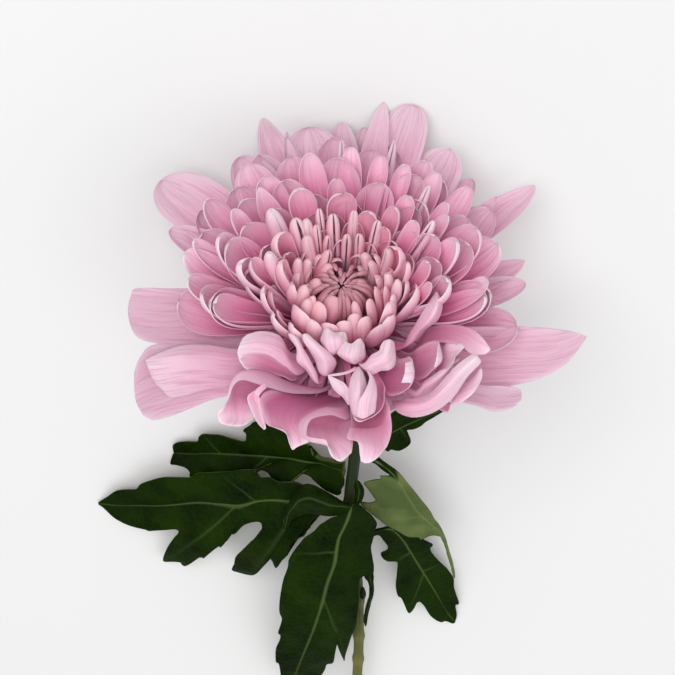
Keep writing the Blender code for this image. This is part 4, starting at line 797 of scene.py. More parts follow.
def surface_through(points, rows, columns):
    """A smooth surface through rows of points: smooth curves along them, then across them."""
    sheet = curve_through(points, rows + 1)
    return curve_through(sheet.transpose(1, 0, 2), columns + 1).transpose(1, 0, 2)


def ruffled_sheet(rows_seen, set_back, rows, columns):
    """A smooth surface through the seen points, grown on from a narrow root on the heart.

    A point seen at (right, up) and this near to the camera lies at that offset shrunk by its
    nearness, and is then turned from the camera's axes to the bloom's.
    """
    seen = np.array(rows_seen, float)
    seen[..., 2] -= set_back
    nearer = (VIEW_DISTANCE - seen[..., 2:]) / VIEW_DISTANCE
    right, up = seen[..., :1] * nearer, seen[..., 1:2] * nearer
    near = seen[..., 2:]
    along, over = view_tilt()
    local = np.concatenate([right, over * up - along * near,
                            BUTTON_HEIGHT + along * up + over * near], axis=-1)
    azimuth = math.degrees(math.atan2(*local[0].mean(axis=0)[1::-1]))
    middle, side = around(azimuth, 10.0, 1.0), around(azimuth + 90, 1.0, 0.0)
    sense = math.copysign(RUFFLED_ROOT, float((local[0, -1] - local[0, 0]) @ side))
    root = middle + np.linspace(-sense, sense, local.shape[1])[:, None] * side
    sheet = surface_through(np.concatenate([root[None], local]), rows, columns)
    steps = np.linalg.norm(np.diff(sheet, axis=0), axis=-1).mean(axis=1)
    run = np.concatenate([[0.0], np.cumsum(steps)])
    wide = 0.5 * np.linalg.norm(np.diff(sheet, axis=1), axis=-1).sum(axis=1)
    return sheet, run / run[-1], np.linspace(-1, 1, columns + 1), run, wide


def normals_of(sheet):
    """A sheet's unit normals, one and the same along its last row, where the points meet."""
    normals = unit(np.cross(np.gradient(sheet, axis=0), np.gradient(sheet, axis=1)))
    normals[-1] = unit(normals[-2].mean(axis=0))
    return normals


def shell_faces(rows, columns):
    """Quads of a sheet's upper face, lower face and rim, all turned outwards."""
    count = (rows + 1) * (columns + 1)
    index = np.arange(count).reshape(rows + 1, columns + 1)
    a, b, c, d = index[:-1, :-1], index[:-1, 1:], index[1:, 1:], index[1:, :-1]
    upper = np.stack([a, d, c, b], -1).reshape(-1, 4)
    ring = np.concatenate([index[0, :], index[1:, -1], index[-1, -2::-1], index[-2:0:-1, 0]])
    after = np.roll(ring, -1)
    rim = np.stack([ring, after, after + count, ring + count], -1)
    return np.concatenate([upper, upper[:, ::-1] + count, rim])


def make_piece(name, points, faces, attributes, material, node):
    """A mesh object from millimetre points, riding on the flower in place of this CAD node."""
    mesh = bpy.data.meshes.new(name)
    mesh.from_pydata(((points + CENTRE_SHIFT) * MM).tolist(), [], faces)
    for key, values in attributes.items():
        made = mesh.attributes.new(key, "FLOAT_VECTOR", "POINT")
        made.data.foreach_set("vector", values.astype(np.float32).ravel())
    mesh.materials.append(material)
    mesh.shade_smooth()
    mesh.validate()
    piece = bpy.data.objects.new(name, mesh)
    bpy.context.scene.collection.objects.link(piece)
    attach(piece, "root")
    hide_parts(node)
    return piece


def make_petals(name, florets, material, node="bloom"):
    """Every floret's sheet thickened into a blade, all in one mesh, with its places as attributes.
    A floret holds either its measures or, for a ruffled petal, its seen rows."""
    rows, columns = GRIDS[name]
    chance = np.random.default_rng(SEED + len(florets))
    thickness = bpy.context.scene.flower_bloom.thickness
    faces_once = shell_faces(rows, columns)
    count = (rows + 1) * (columns + 1)
    points, faces, lengths, shares, tints_and_shades = [], [], [], [], []
    for number, floret in enumerate(florets):
        if "seen" in floret:
            sheet, places, across, run, wide = ruffled_sheet(*floret["seen"], rows, columns)
        else:
            sheet, places, across, run, wide = petal_sheet(floret, rows, columns)
        normals = normals_of(sheet) @ bloom_axes()
        # A blade thins to three tenths at its rims and two fifths at its tip.
        thin = (1 - 0.7 * np.abs(across) ** 4)[None, :] * (1 - 0.6 * places ** 8)[:, None]
        half = 0.5 * thickness * floret["blade"] * thin[..., None]
        sheet = bloom_to_world(sheet)
        sheet[..., 2] = np.maximum(sheet[..., 2], half[..., 0] + 2 * CLEARANCE)
        upper, lower = sheet + half * normals, sheet - half * normals
        both = np.concatenate([upper.reshape(-1, 3), lower.reshape(-1, 3)])
        both[:, 2] = np.maximum(both[:, 2], CLEARANCE)
        points.append(both)
        faces.append(faces_once + number * 2 * count)
        grid_across = (wide[:, None] * across[None, :]).ravel()
        length = np.stack([grid_across, np.repeat(run, columns + 1),
                           np.full(count, PATTERN_STEP * number)], axis=1)
        lengths.append(np.tile(length, (2, 1)))
        # The share along is raised to a power that runs the dark root colour, partly painted shade,
        # further out.
        grid_share = np.repeat(places ** floret.get("deep_colour_and_shade_run", 1.0), columns + 1)
        grid_rim = np.tile(np.abs(across), rows + 1)
        for inner in (1.0, 0.0):
            shares.append(np.stack([grid_share, grid_rim, np.full(count, inner)], axis=1))
        # This holds the zone, a tone of the petal's own, and the strength of the painted shade in its
        # hollows.
        tint_and_shade = (floret["zone"], chance.random(), floret.get("shade", 0.0))
        tints_and_shades.append(np.tile(np.array(tint_and_shade), (2 * count, 1)))
    attributes = {"petal_mm": lengths, "petal_share": shares, "petal_tint": tints_and_shades}
    return make_piece(name, np.concatenate(points), np.concatenate(faces).tolist(),
                      {key: np.concatenate(values) for key, values in attributes.items()},
                      material, node)


def zone_of(reach):
    """0 in the button to 1 at the rim."""
    return float(np.clip(reach / RIM_REACH, 0, 1))


def brushed(reach, height, azimuth):
    """Root and angles of a floret in the head: it leaves the heart nearly straight towards its tip,
    bowed outwards and bent in at the end, more so at the front."""
    root_reach = float(np.interp(reach, (0, 8), (3.0, 11.0)))
    root_height = float(np.interp(reach, (3, 8, 20, 35), (7.0, 2.5, 0.5, -0.3)))
    chord = math.degrees(math.atan2(height - root_height, reach - root_reach))
    front = max(0.0, -math.sin(math.radians(azimuth)))
    near = float(np.interp(reach, (24, 40), (1, 0))) * front
    bow, bend = (float(np.interp(reach, BOW["reach"], BOW[key])) for key in ("bow", "bend"))
    return dict(root_reach=root_reach, root_height=root_height, rise=chord - (bow + 34 * near),
                turn=chord + (bend + 10 * near), k0=0.4 + 0.12 * near, k1=0.36 + 0.1 * near)


def facing(azimuth, reach):
    """The turn that shows a side petal's inner face to the front."""
    return 22 * math.cos(math.radians(azimuth)) * float(np.interp(reach, (12, 26), (0, 1)))


def deep_colour_and_shade_run_at(reach):
    """How far a petal's dark throat colour runs out, greatest halfway to the rim. The dark throat is
    partly the petal's own colour and partly painted shade of the bloom's depth.
    """
    return float(np.interp(reach, (12, 24, 42, RIM_REACH), (1.2, 2.4, 2.2, 1.4)))


def flat_width(seen, rolls):
    """Width of the flattened sheet that looks this wide when rolled: the arc over its chord."""
    roll = math.radians(rolls[2])
    return seen * roll / math.sin(min(roll, math.pi / 2))


def button_florets():
    """Claws that lean in over the middle, ring by ring, their tips nearly meeting."""
    chance = np.random.default_rng(SEED)
    florets = []
    for ring, (count, reach, height, root_reach, root_height, width) in enumerate(BUTTON_RINGS):
        for number in range(count):
            wander = chance.uniform(-1, 1, 6)
            florets.append(floret_from(BUTTON_CLAW, dict(
                azimuth=360 * (number + 0.37 * ring) / count + 9 * wander[0],
                reach=max(0.3, reach * (1 + 0.2 * wander[1])), height=height + 0.35 * wander[2],
                root_reach=root_reach, root_height=root_height, turn=172 + 8 * wander[3],
                width=width * (1 + 0.12 * wander[4]), twist=10 * wander[5], swing=6 * wander[5])))
    return florets


def seen_florets(forms):
    """The florets placed one by one in the head, of these forms."""
    chance = np.random.default_rng(SEED + 1)
    florets = []
    for form, right, up, seen, *special in SEEN_FLORETS:
        wander = chance.uniform(-1, 1, 8)
        if form not in forms:
            continue
        azimuth, reach, height = tip_as_seen(right, up)
        share = dome_at(reach, azimuth)["share"]
        rolls = FORMS[form]["rolls"]
        place = dict(
            azimuth=azimuth, reach=reach, height=height, zone=zone_of(reach),
            wave=0.2 + 0.8 * share ** 2, phase=3.1 * wander[3], wave_count=1.2 + 0.4 * wander[4],
            odd=wander[5] > 0, twist=8 * wander[6] + facing(azimuth, reach), lean=wander[7] * share,
            blade=0.34 + 0.12 * share, deep_colour_and_shade_run=deep_colour_and_shade_run_at(reach))
        size = dict(width=flat_width(seen, rolls),
                    rolls=tuple(roll * (1 + 0.04 * wander[0]) for roll in rolls))
        florets.append(floret_from(place, FORMS[form], size, *special, brushed(reach, height, azimuth)))
    return florets


def filler_florets(count):
    """Florets on the golden-angle spiral that fill the spaces between those placed one by one. The
    innermost quarter and the front are left to the pieces placed there."""
    chance = np.random.default_rng(SEED + 2)
    florets = []
    for number in range(count):
        share = (number + 0.5) / count
        wander = chance.uniform(-1, 1, 9)
        reach = float(np.interp(share, DOME["share"], DOME["reach"])) * (1 + 0.05 * wander[3])
        azimuth = (number * GOLDEN_ANGLE + 5 * wander[0] * (0.3 + share)) % 360
        if share < 0.25 or FRONT[0] < azimuth < FRONT[1]:
            continue
        base = dome_at(reach, azimuth)
        sunk = 5.0 if share < 0.7 else 3.0
        height = base["height"] - sunk + 1.5 * wander[4] * (0.3 + share)
        roll = float(np.interp(share, (0.25, 0.45, 0.7, 1.0), (120, 84, 62, 44))) * (1 + 0.15 * wander[1])
        florets.append(floret_from(dict(
            azimuth=azimuth, swing=6 * wander[2] * (0.2 + share), reach=reach * 0.98, height=height,
            width=base["width"] * (1 + 0.1 * wander[7]), widest=0.66, blunt=2.6, claw=0.45,
            twist=16 * wander[8] * (0.3 + share) + facing(azimuth, reach),
            rolls=(130, 1.25 * roll, roll, 0.85 * roll), curl=(0, 0, 30 * share, 30 * share),
            wave=0.9 * share, wave_count=1.2 + 0.5 * wander[7], phase=3.1 * wander[8],
            odd=wander[2] > 0, lean=2.5 * wander[1] * (0.2 + share), zone=zone_of(reach),
            blade=0.34 + 0.12 * share, deep_colour_and_shade_run=1.15 * deep_colour_and_shade_run_at(reach)), brushed(reach, height, azimuth)))
    return florets


def outer_florets():
    """Low petals under the ruffled front, then the broad ones placed one by one round the rim."""
    florets = [floret_from(LOW_PETAL, dict(azimuth=azimuth, phase=azimuth))
               for azimuth in range(-154, -20, 12)]
    for azimuth, reach, height, width, rise, turn, roll, *special in OUTER_PETALS:
        florets.append(floret_from(dict(
            azimuth=azimuth, reach=reach, height=height, width=width, rise=rise, turn=turn,
            rolls=(80, 1.2 * roll, roll, roll), phase=azimuth, blade=0.46, wave=0.8), *special))
    return florets


def ruffled_florets():
    """The petals that are smooth surfaces through seen points. The darker hollows of the front get
    painted shade.
    """
    return [dict(seen=(rows, set_back), zone=zone, blade=0.44, deep_colour_and_shade_run=deep_colour_and_shade_run,
                 shade=0.8 if zone < 0.85 and deep_colour_and_shade_run > 2.1 else 0.0)
            for set_back, deep_colour_and_shade_run, zone, rows in RUFFLED_PETALS.values()]


def bract_florets():
    """The pointed green bracts, in rows that climb the cup."""
    florets = []
    for row, (count, root, reach, foot, height) in enumerate(BRACT_ROWS):
        for number in range(count):
            florets.append(floret_from(BRACT, dict(
                azimuth=360 * (number + 0.5 * row) / count, reach=reach, height=height,
                root_reach=root, root_height=foot)))
    return florets


def make_tube(name, rings, attributes, material, node):
    """A closed tube: quads between rings of points, and a fan to a middle point in each end."""
    turns, sides = rings.shape[:2]
    index = np.arange(turns * sides).reshape(turns, sides)
    after = np.roll(index, -1, axis=1)
    walls = np.stack([index[:-1], after[:-1], after[1:], index[1:]], -1).reshape(-1, 4)
    start = np.stack([np.full(sides, turns * sides), after[0], index[0]], -1)
    stop = np.stack([np.full(sides, turns * sides + 1), index[-1], after[-1]], -1)
    points = np.concatenate([rings.reshape(-1, 3), rings[:1].mean(axis=1), rings[-1:].mean(axis=1)])
    faces = walls.tolist() + start.tolist() + stop.tolist()
    looks = {key: np.concatenate([values, values[:1], values[-1:]]) for key, values in attributes.items()}
    return make_piece(name, points, faces, looks, material, node)


def turned_rings(profile):
    """Rings about the bloom's axis from (radius, height) pairs, in the world."""
    angles = np.arange(TURNED_SIDES) / TURNED_SIDES * 360
    return bloom_to_world(np.stack([around(angles, radius, height) for radius, height in profile]))


def even_path(points, places):
    """A smooth curve through the points, sampled at these shares of its length, with its tangents and
    the length up to each place. Numbers after the first three of a point are carried along."""
    curve = curve_through(np.asarray(points, float), 300)
    run = np.concatenate([[0.0], np.cumsum(np.linalg.norm(np.diff(curve[:, :3], axis=0), axis=1))])
    at = places * run[-1]
    out = np.stack([np.interp(at, run, column) for column in curve.T], axis=1)
    slope = np.stack([np.interp(at, run, np.gradient(column, run)) for column in curve[:, :3].T], axis=1)
    return out, unit(slope), at


def stem_bark(material):
    """The stem: a ring of points about each place of its centreline. Its radius swells by a bell curve
    at each joint and has six broad ridges and seventeen fine ones round it."""
    rows, sides = GRIDS["stem_bark"]
    places = np.linspace(0, 1, rows + 1)
    path, along, run = even_path(STEM_PATH, places)
    swell = sum(np.exp(-((places - node) / JOINT_SHARE) ** 2) for node in STEM_NODES)
    radius = path[:, 3] + JOINT_SWELL * swell
    side = unit(np.cross(along, [0.0, 0.0, 1.0]))
    up = np.cross(side, along)
    turn = np.arange(sides) / sides * 2 * math.pi
    ridges = 1 + 0.05 * np.cos(6 * turn + 2.0 * places[:, None]) + 0.015 * np.cos(17 * turn)
    ring = radius[:, None] * ridges
    rings = (path[:, None, :3] + (ring * np.cos(turn))[..., None] * side[:, None, :]
             + (ring * np.sin(turn))[..., None] * up[:, None, :])
    # The cut slants, and the wall stays on the table.
    rings[-1, :, 1] += 0.9 * (rings[-1, :, 2] - path[-1, 2])
    rings[..., 2] = np.maximum(rings[..., 2], CLEARANCE)
    # Patterns are laid on as if the stem were 2.2 mm in radius all along.
    blank = np.zeros(rings[..., 0].size)
    lengths = np.stack([np.tile(turn * 2.2, rows + 1), np.repeat(run, sides), blank], axis=1)
    scars = np.repeat(np.clip(swell, 0, 1) * 0.5, sides)
    looks = np.stack([np.repeat(places, sides), scars, blank], axis=1)
    return make_tube("stem_bark", rings, {"stem_mm": lengths, "stem_look": looks}, material,
                     "stem")


def margin_at(margin, places):
    """A margin's seen points where the side veins from these places of the midrib meet it."""
    smooth = curve_through(np.array(margin, float), 16 * len(margin))
    start = np.maximum.accumulate(smooth[:, 0]) / 100 + 1e-7 * np.arange(len(smooth))
    return np.stack([np.interp(places, start, column) for column in smooth[:, 1:].T], axis=-1)


def leaf_piece(name, node, sheet, veins, share, thick, turned, material):
    """A leaf's sheet gently buckled by crossed sine waves, thickened, and turned so that its face is
    up, with its look at every point: vein strength, share of the way to the margin, upper side."""
    rows, columns = sheet.shape[0] - 1, sheet.shape[1] - 1
    x, y = sheet[..., 0], sheet[..., 1]
    buckle = BUCKLE * np.sin(0.55 * x + 1.3 * np.sin(0.21 * y)) * np.sin(0.47 * y)
    buckle *= np.minimum(4 * share * (1.1 - share), 1)
    sheet[..., 2] = np.maximum(sheet[..., 2] + buckle, 0.5 * thick.min() + 5 * CLEARANCE)
    normals = normals_of(sheet)
    normals *= np.where(normals[..., 2:] < 0, -1.0, 1.0)
    half = 0.5 * thick * normals
    both = np.concatenate([(sheet + half).reshape(-1, 3), (sheet - half).reshape(-1, 3)])
    both[:, 2] = np.maximum(both[:, 2], 2 * CLEARANCE)
    faces = shell_faces(rows, columns)
    corner = both[faces[0]]
    if np.cross(corner[1] - corner[0], corner[2] - corner[0]) @ normals[0, 0] < 0:
        faces = faces[:, ::-1]
    plain = np.ones(share.size)
    # A turned leaf shows its upper side on the stalk and its underside beyond a quarter of its length.
    stalk = np.repeat(np.clip(1 - 40 * (np.linspace(0, 1, rows + 1) - 0.22), 0, 1), columns + 1)
    shown = (stalk, plain) if turned else (plain, 0 * plain)
    looks = [np.stack([veins.ravel(), share.ravel(), upper], axis=1) for upper in shown]
    return make_piece(name, both, faces.tolist(), {"leaf_look": np.concatenate(looks)}, material,
                      node)


def leaf_blade(name, thickness, material):
    """A lobed blade: straight side veins run from the midrib to the margin, and each is raised by a
    fold in proportion to its length and lowered by a droop in proportion to its square."""
    leaf = LEAVES[name]
    rows, columns = GRIDS["leaf_blade"]
    places = np.linspace(0, 1, rows + 1)
    ribs = np.array(leaf["midrib"], float)
    midrib, _, run = even_path(seen_on_plane(ribs[:, :2], ribs[:, 2]), places)
    across = np.linspace(-1, 1, 2 * columns + 1)
    share = np.tile(np.abs(across), (rows + 1, 1))
    sheet = np.zeros((rows + 1, 2 * columns + 1, 3))
    veins = np.zeros((rows + 1, 2 * columns + 1))
    for sign, side in ((-1, "lower"), (1, "upper")):
        pick = sign * across >= 0
        margin, lift = margin_at(leaf[side], places), np.zeros(rows + 1)
        # The margin's height and its place in the view fix each other in a few rounds.
        for _ in range(4):
            ends = seen_on_plane(margin, midrib[:, 2] + lift)
            reach = np.linalg.norm(ends[:, :2] - midrib[:, :2], axis=1)
            lift = np.maximum(leaf["fold"] * reach - leaf["droop"] * reach ** 2, 0.4 - midrib[:, 2])
        ends[:, 2] = midrib[:, 2]
        reach = reach[:, None] * share[:, pick]
        sheet[:, pick] = midrib[:, None] + (ends - midrib)[:, None] * share[:, pick, None]
        sheet[:, pick, 2] += leaf["fold"] * reach - leaf["droop"] * reach ** 2
        veins[:, pick] = np.exp(-(reach / MIDRIB_WIDTH) ** 2) * (1 - 0.6 * places[:, None])
        for vein_sign, place in leaf["veins"]:
            if vein_sign == sign:
                nearness = np.exp(-((places[:, None] - place / 100) * run[-1] / VEIN_WIDTH) ** 2)
                veins[:, pick] = np.maximum(veins[:, pick], 0.4 * nearness * (1 - share[:, pick]))
    thick = thickness + np.interp(places, *STALK_THICKENING)
    return leaf_piece(name + "_blade", name, sheet, veins, share, thick[:, None, None],
                      leaf.get("turned", False), material)


def leaf_lobe(name, thickness, material):
    """A lobe that stands off its leaf: a smooth surface through rows of seen points."""
    node, seen = LOBES[name]
    rows, columns = GRIDS["leaf_lobe"]
    seen = np.array(seen, float)
    sheet = surface_through(seen_on_plane(seen[..., :2], seen[..., 2]), rows, columns)
    share = np.tile(np.abs(np.linspace(-1, 1, columns + 1)), (rows + 1, 1))
    veins = 0.35 * np.exp(-(share / 0.05) ** 2)
    return leaf_piece(name, node, sheet, veins, share, np.full((rows + 1, 1, 1), thickness), False,
                      material)


def add_node(tree, kind, settings=None, inputs=None, give=0):
    """Adds a node, with its properties, its ramp stops, and each input's value or link. It gives one
    of the node's outputs, or all where give is None."""
    made = tree.nodes.new(kind)
    for key, value in (settings or {}).items():
        if key == "stops":
            ramp = made.color_ramp
            while len(ramp.elements) < len(value):
                ramp.elements.new(0.5)
            for element, (position, colour) in zip(ramp.elements, value):
                element.position, element.color = position, colour
        else:
            setattr(made, key, value)
    for key, value in (inputs or {}).items():
        if isinstance(value, bpy.types.NodeSocket):
            tree.links.new(value, made.inputs[key])
        else:
            made.inputs[key].default_value = value
    return made.outputs if give is None else made.outputs[give]


def new_material(name, values):
    """A material, its node tree and its shader, with these values on the shader's own sockets."""
    made = bpy.data.materials.new(name)
    made.use_nodes = True
    shader = made.node_tree.nodes["Principled BSDF"]
    for key, value in values.items():
        shader.inputs[key].default_value = value
    return made, made.node_tree, shader


def petal_skin():
    """Fresh petal: a thin moist sheet of cells over a waxy skin, so it looks soft and satin, lets some
    light through, is dark magenta in its throat, partly its own colour and partly painted shade of the
    bloom's depth, and pale on its back and rims, the rims with a painted highlight, with fine ribs along."""
    bloom = bpy.context.scene.flower_bloom
    material, tree, shader = new_material("fresh_petal_skin", {
        "Roughness": 0.52, "IOR": 1.42, "Specular IOR Level": 0.2, "Subsurface Weight": 0.22,
        "Subsurface Radius": (1.0, 0.4, 0.6), "Subsurface Scale": 0.0015})
    read = {}
    for name in ("petal_share", "petal_tint", "petal_mm"):
        read[name] = add_node(tree, "ShaderNodeAttribute", {"attribute_name": name}, None, "Vector")
    places = read["petal_mm"]
    along, rim, inner = add_node(tree, "ShaderNodeSeparateXYZ", None, {0: read["petal_share"]}, None)
    zone, own, shade = add_node(tree, "ShaderNodeSeparateXYZ", None, {0: read["petal_tint"]}, None)
    across = add_node(tree, "ShaderNodeSeparateXYZ", None, {0: places})

    # Colour along the petal, from root to tip, on each side, at the rim and in the heart of the bloom.
    # The dark root ends are partly the petals' own colour and partly painted shade of the bloom's depth.
    sides = {}
    for name, stops in (
            ("rim_in", ((0.0, bloom.throat), (0.3, bloom.inside), (0.66, bloom.pale), (1.0, bloom.tip))),
            ("rim_out", ((0.0, linear("#d277a3")), (0.4, bloom.back), (0.8, linear("#f8d3e2")),
                         (1.0, linear("#fbe7ef")))),
            ("heart_in", ((0.0, linear("#8c1c3a")), (0.5, linear("#cf6482")), (1.0, linear("#f2acbd")))),
            ("heart_out", ((0.0, linear("#a83c58")), (0.45, bloom.heart), (1.0, linear("#fbc4ca"))))):
        sides[name] = add_node(tree, "ShaderNodeValToRGB", {"stops": stops}, {0: along})
    blends = {}
    for part in ("rim", "heart"):
        blends[part] = add_node(tree, "ShaderNodeMix", COLOUR_MIX,
                                {0: inner, 6: sides[part + "_out"], 7: sides[part + "_in"]}, 2)
    # Where in the bloom each tone begins and is full, and how strong it is there. The pale rim is
    # partly the petals' own pale margin and partly a painted highlight.
    tones = {}
    for name, source, limits in (
            ("heart_to_rim", zone, (0.12, 0.62, 0.0, 1.0)), ("button", zone, (0.0, 0.16, 0.55, 0.0)),
            ("outermost", zone, (0.86, 1.2, 0.0, 0.8)), ("edge", rim, (0.55, 1.0, 0.0, 0.3))):
        tones[name] = add_node(tree, "ShaderNodeMapRange", {"interpolation_type": "SMOOTHSTEP"},
                               {0: source, **dict(enumerate(limits, 1))})
    # Painted shade: a plum tone laid into the hollows of the ruffled and low petals, strongest at their
    # roots.
    throat = add_node(tree, "ShaderNodeMath", {"operation": "SUBTRACT"}, {0: 1.0, 1: along})
    painted_hollow_shade = add_node(tree, "ShaderNodeMath", {"operation": "MULTIPLY"}, {0: shade, 1: throat})
    # Ribs lie 0.8 mm apart, wider than the real ones, so that they show at this size.
    drift = add_node(tree, "ShaderNodeTexNoise", None, {"Vector": places, "Scale": 0.25, "Detail": 2.0})
    wander = add_node(tree, "ShaderNodeMath", {"operation": "MULTIPLY"}, {0: drift, 1: 5.0})
    angle = add_node(tree, "ShaderNodeMath", {"operation": "MULTIPLY_ADD"},
                     {0: across, 1: RIB_RATE, 2: wander})
    rib = add_node(tree, "ShaderNodeMath", {"operation": "SINE"}, {0: angle})
    strength = add_node(tree, "ShaderNodeMapRange", None, {0: zone, 1: 0.3, 2: 1.0, 3: 0.1, 4: 1.0})
    furrow = add_node(tree, "ShaderNodeMath", {"operation": "MULTIPLY_ADD"}, {0: rib, 1: -0.04, 2: 0.04})
    # Between the ribs run uneven darker streaks, about 0.8 mm wide and 12 mm long.
    stretched = add_node(tree, "ShaderNodeVectorMath", {"operation": "MULTIPLY"},
                         {0: places, 1: (1.2, 0.08, 1.0)})
    streak = add_node(tree, "ShaderNodeTexNoise", None, {"Vector": stretched, "Scale": 1.0, "Detail": 2.0})
    streak = add_node(tree, "ShaderNodeMapRange", None, {0: streak, 1: 0.45, 2: 0.7, 3: 0.0, 4: 0.34})
    # Soft blotches 2 mm across, and petals that differ a little from one to the next.
    blotch = add_node(tree, "ShaderNodeTexNoise", None, {"Vector": places, "Scale": 0.5, "Detail": 3.0})
    factors = {}
    for name, first, second in (("rib", furrow, strength), ("streak", streak, strength),
                                ("own", own, 0.22), ("blotch", blotch, 0.14)):
        factors[name] = add_node(tree, "ShaderNodeMath", {"operation": "MULTIPLY"}, {0: first, 1: second})
    # Each tone is laid over the colour so far: the greyer outermost petals, the painted plum shade in
    # the hollows of the ruffled and low petals, the pale rims with a painted highlight, then the marks.
    colour = blends["heart"]
    for factor, tone in (
            (tones["heart_to_rim"], blends["rim"]), (tones["button"], linear("#9a5a62")),
            (tones["outermost"], bloom.outermost), (painted_hollow_shade, linear("#6e2a48")),
            (tones["edge"], linear("#f4e0ea")), (factors["rib"], linear("#b06590")),
            (factors["streak"], linear("#a4587f")), (factors["own"], linear("#f0b8cc")),
            (factors["blotch"], linear("#c987ac"))):
        colour = add_node(tree, "ShaderNodeMix", COLOUR_MIX, {0: factor, 6: colour, 7: tone}, 2)
    tree.links.new(colour, shader.inputs["Base Color"])
    bump = add_node(tree, "ShaderNodeBump", None, {"Strength": 0.18, "Distance": 0.0001, "Height": rib})
    tree.links.new(bump, shader.inputs["Normal"])
    return material


def petal_material():
    """The petals' one material, made the first time that it is asked for."""
    return bpy.data.materials.get("fresh_petal_skin") or petal_skin()


def leaf_skin():
    """Living leaf: a waxy skin over dark green tissue, so it has a satin gloss, paler veins and a
    matt grey-green underside with soft down."""
    settings = bpy.context.scene.flower_leaf
    material, tree, shader = new_material("living_leaf_skin", {
        "Roughness": 0.48, "IOR": 1.45, "Specular IOR Level": 0.05})
    look = add_node(tree, "ShaderNodeAttribute", {"attribute_name": "leaf_look"}, None, "Vector")
    vein, _, upper = add_node(tree, "ShaderNodeSeparateXYZ", None, {0: look}, None)
    place = add_node(tree, "ShaderNodeTexCoord", None, None, "Object")
    # The net of small veins: cells about 2.5 mm across. Slow patches of tone are 14 mm across.
    net = add_node(tree, "ShaderNodeTexVoronoi", {"feature": "DISTANCE_TO_EDGE"},
                   {"Vector": place, "Scale": 400.0}, "Distance")
    lines = add_node(tree, "ShaderNodeMapRange", None, {0: net, 1: 0.0, 2: 0.09, 3: 1.0, 4: 0.0})
    patches = add_node(tree, "ShaderNodeTexNoise", None, {"Vector": place, "Scale": 70.0, "Detail": 4.0})
    spread = add_node(tree, "ShaderNodeMapRange", None, {0: patches, 1: 0.35, 2: 0.65})
    top = add_node(tree, "ShaderNodeMix", COLOUR_MIX,
                   {0: spread, 6: linear("#061500"), 7: settings.top}, 2)
    colour = add_node(tree, "ShaderNodeMix", COLOUR_MIX,
                      {0: spread, 6: linear("#4d5c34"), 7: settings.underside}, 2)
    faint = add_node(tree, "ShaderNodeMath", {"operation": "MULTIPLY"}, {0: lines, 1: 0.05})
    strong = add_node(tree, "ShaderNodeMath", {"operation": "MULTIPLY"}, {0: vein, 1: 0.38})
    for factor, tone in ((upper, top), (faint, linear("#4a6428")), (strong, settings.veins)):
        colour = add_node(tree, "ShaderNodeMix", COLOUR_MIX, {0: factor, 6: colour, 7: tone}, 2)
    tree.links.new(colour, shader.inputs["Base Color"])
    bump = add_node(tree, "ShaderNodeBump", {"invert": True},
                    {"Strength": 0.4, "Distance": 0.0002, "Height": lines})
    tree.links.new(bump, shader.inputs["Normal"])
    return material


def stem_skin():
    """Green stem: ridged waxy bark, dark under the bloom and yellower towards the cut, with streaks."""
    material, tree, shader = new_material("green_stem_bark", {
        "Roughness": 0.5, "Specular IOR Level": 0.2})
    place = add_node(tree, "ShaderNodeAttribute", {"attribute_name": "stem_mm"}, None, "Vector")
    look = add_node(tree, "ShaderNodeAttribute", {"attribute_name": "stem_look"}, None, "Vector")
    along, scar, _ = add_node(tree, "ShaderNodeSeparateXYZ", None, {0: look}, None)
    # Streaks are about 0.8 mm wide and 8 mm long.
    stretched = add_node(tree, "ShaderNodeMapping", None, {"Vector": place, "Scale": (1.2, 0.12, 1.0)})
    streaks = add_node(tree, "ShaderNodeTexNoise", None,
                       {"Vector": stretched, "Scale": 1.0, "Detail": 4.0})
    stops = [(position, linear(tone)) for position, tone in (
        (0.0, "#141f0a"), (0.3, "#1f2c0e"), (0.45, "#44521f"), (0.6, "#6a6c34"))]
    stops.append((1.0, bpy.context.scene.flower_leaf.stem))
    colour = add_node(tree, "ShaderNodeValToRGB", {"stops": stops}, {0: along})
    dark = add_node(tree, "ShaderNodeMath", {"operation": "MULTIPLY"}, {0: streaks, 1: 0.45})
    for factor, tone in ((dark, "#26301a"), (scar, "#7a7346")):
        colour = add_node(tree, "ShaderNodeMix", COLOUR_MIX, {0: factor, 6: colour, 7: linear(tone)}, 2)
    tree.links.new(colour, shader.inputs["Base Color"])
    bump = add_node(tree, "ShaderNodeBump", None, {"Strength": 0.5, "Distance": 0.0002, "Height": streaks})
    tree.links.new(bump, shader.inputs["Normal"])
    return material


def plant_tissue(name, first, second, roughness, scale):
    """Matt soft plant tissue, which shows only between petals or behind, so it looks dull and even, with
    slow patches of two tones, this many to the metre."""
    material, tree, shader = new_material(name, {"Roughness": roughness})
    place = add_node(tree, "ShaderNodeTexCoord", None, None, "Object")
    patches = add_node(tree, "ShaderNodeTexNoise", None, {"Vector": place, "Scale": scale, "Detail": 3.0})
    colour = add_node(tree, "ShaderNodeMix", COLOUR_MIX,
                      {0: patches, 6: linear(first), 7: linear(second)}, 2)
    tree.links.new(colour, shader.inputs["Base Color"])
    return material


def colour_choice(name, description, hexadecimal):
    """A colour that the user may change."""
    return FloatVectorProperty(name=name, description=description, subtype="COLOR", size=4,
                               default=linear(hexadecimal), min=0.0, max=1.0)


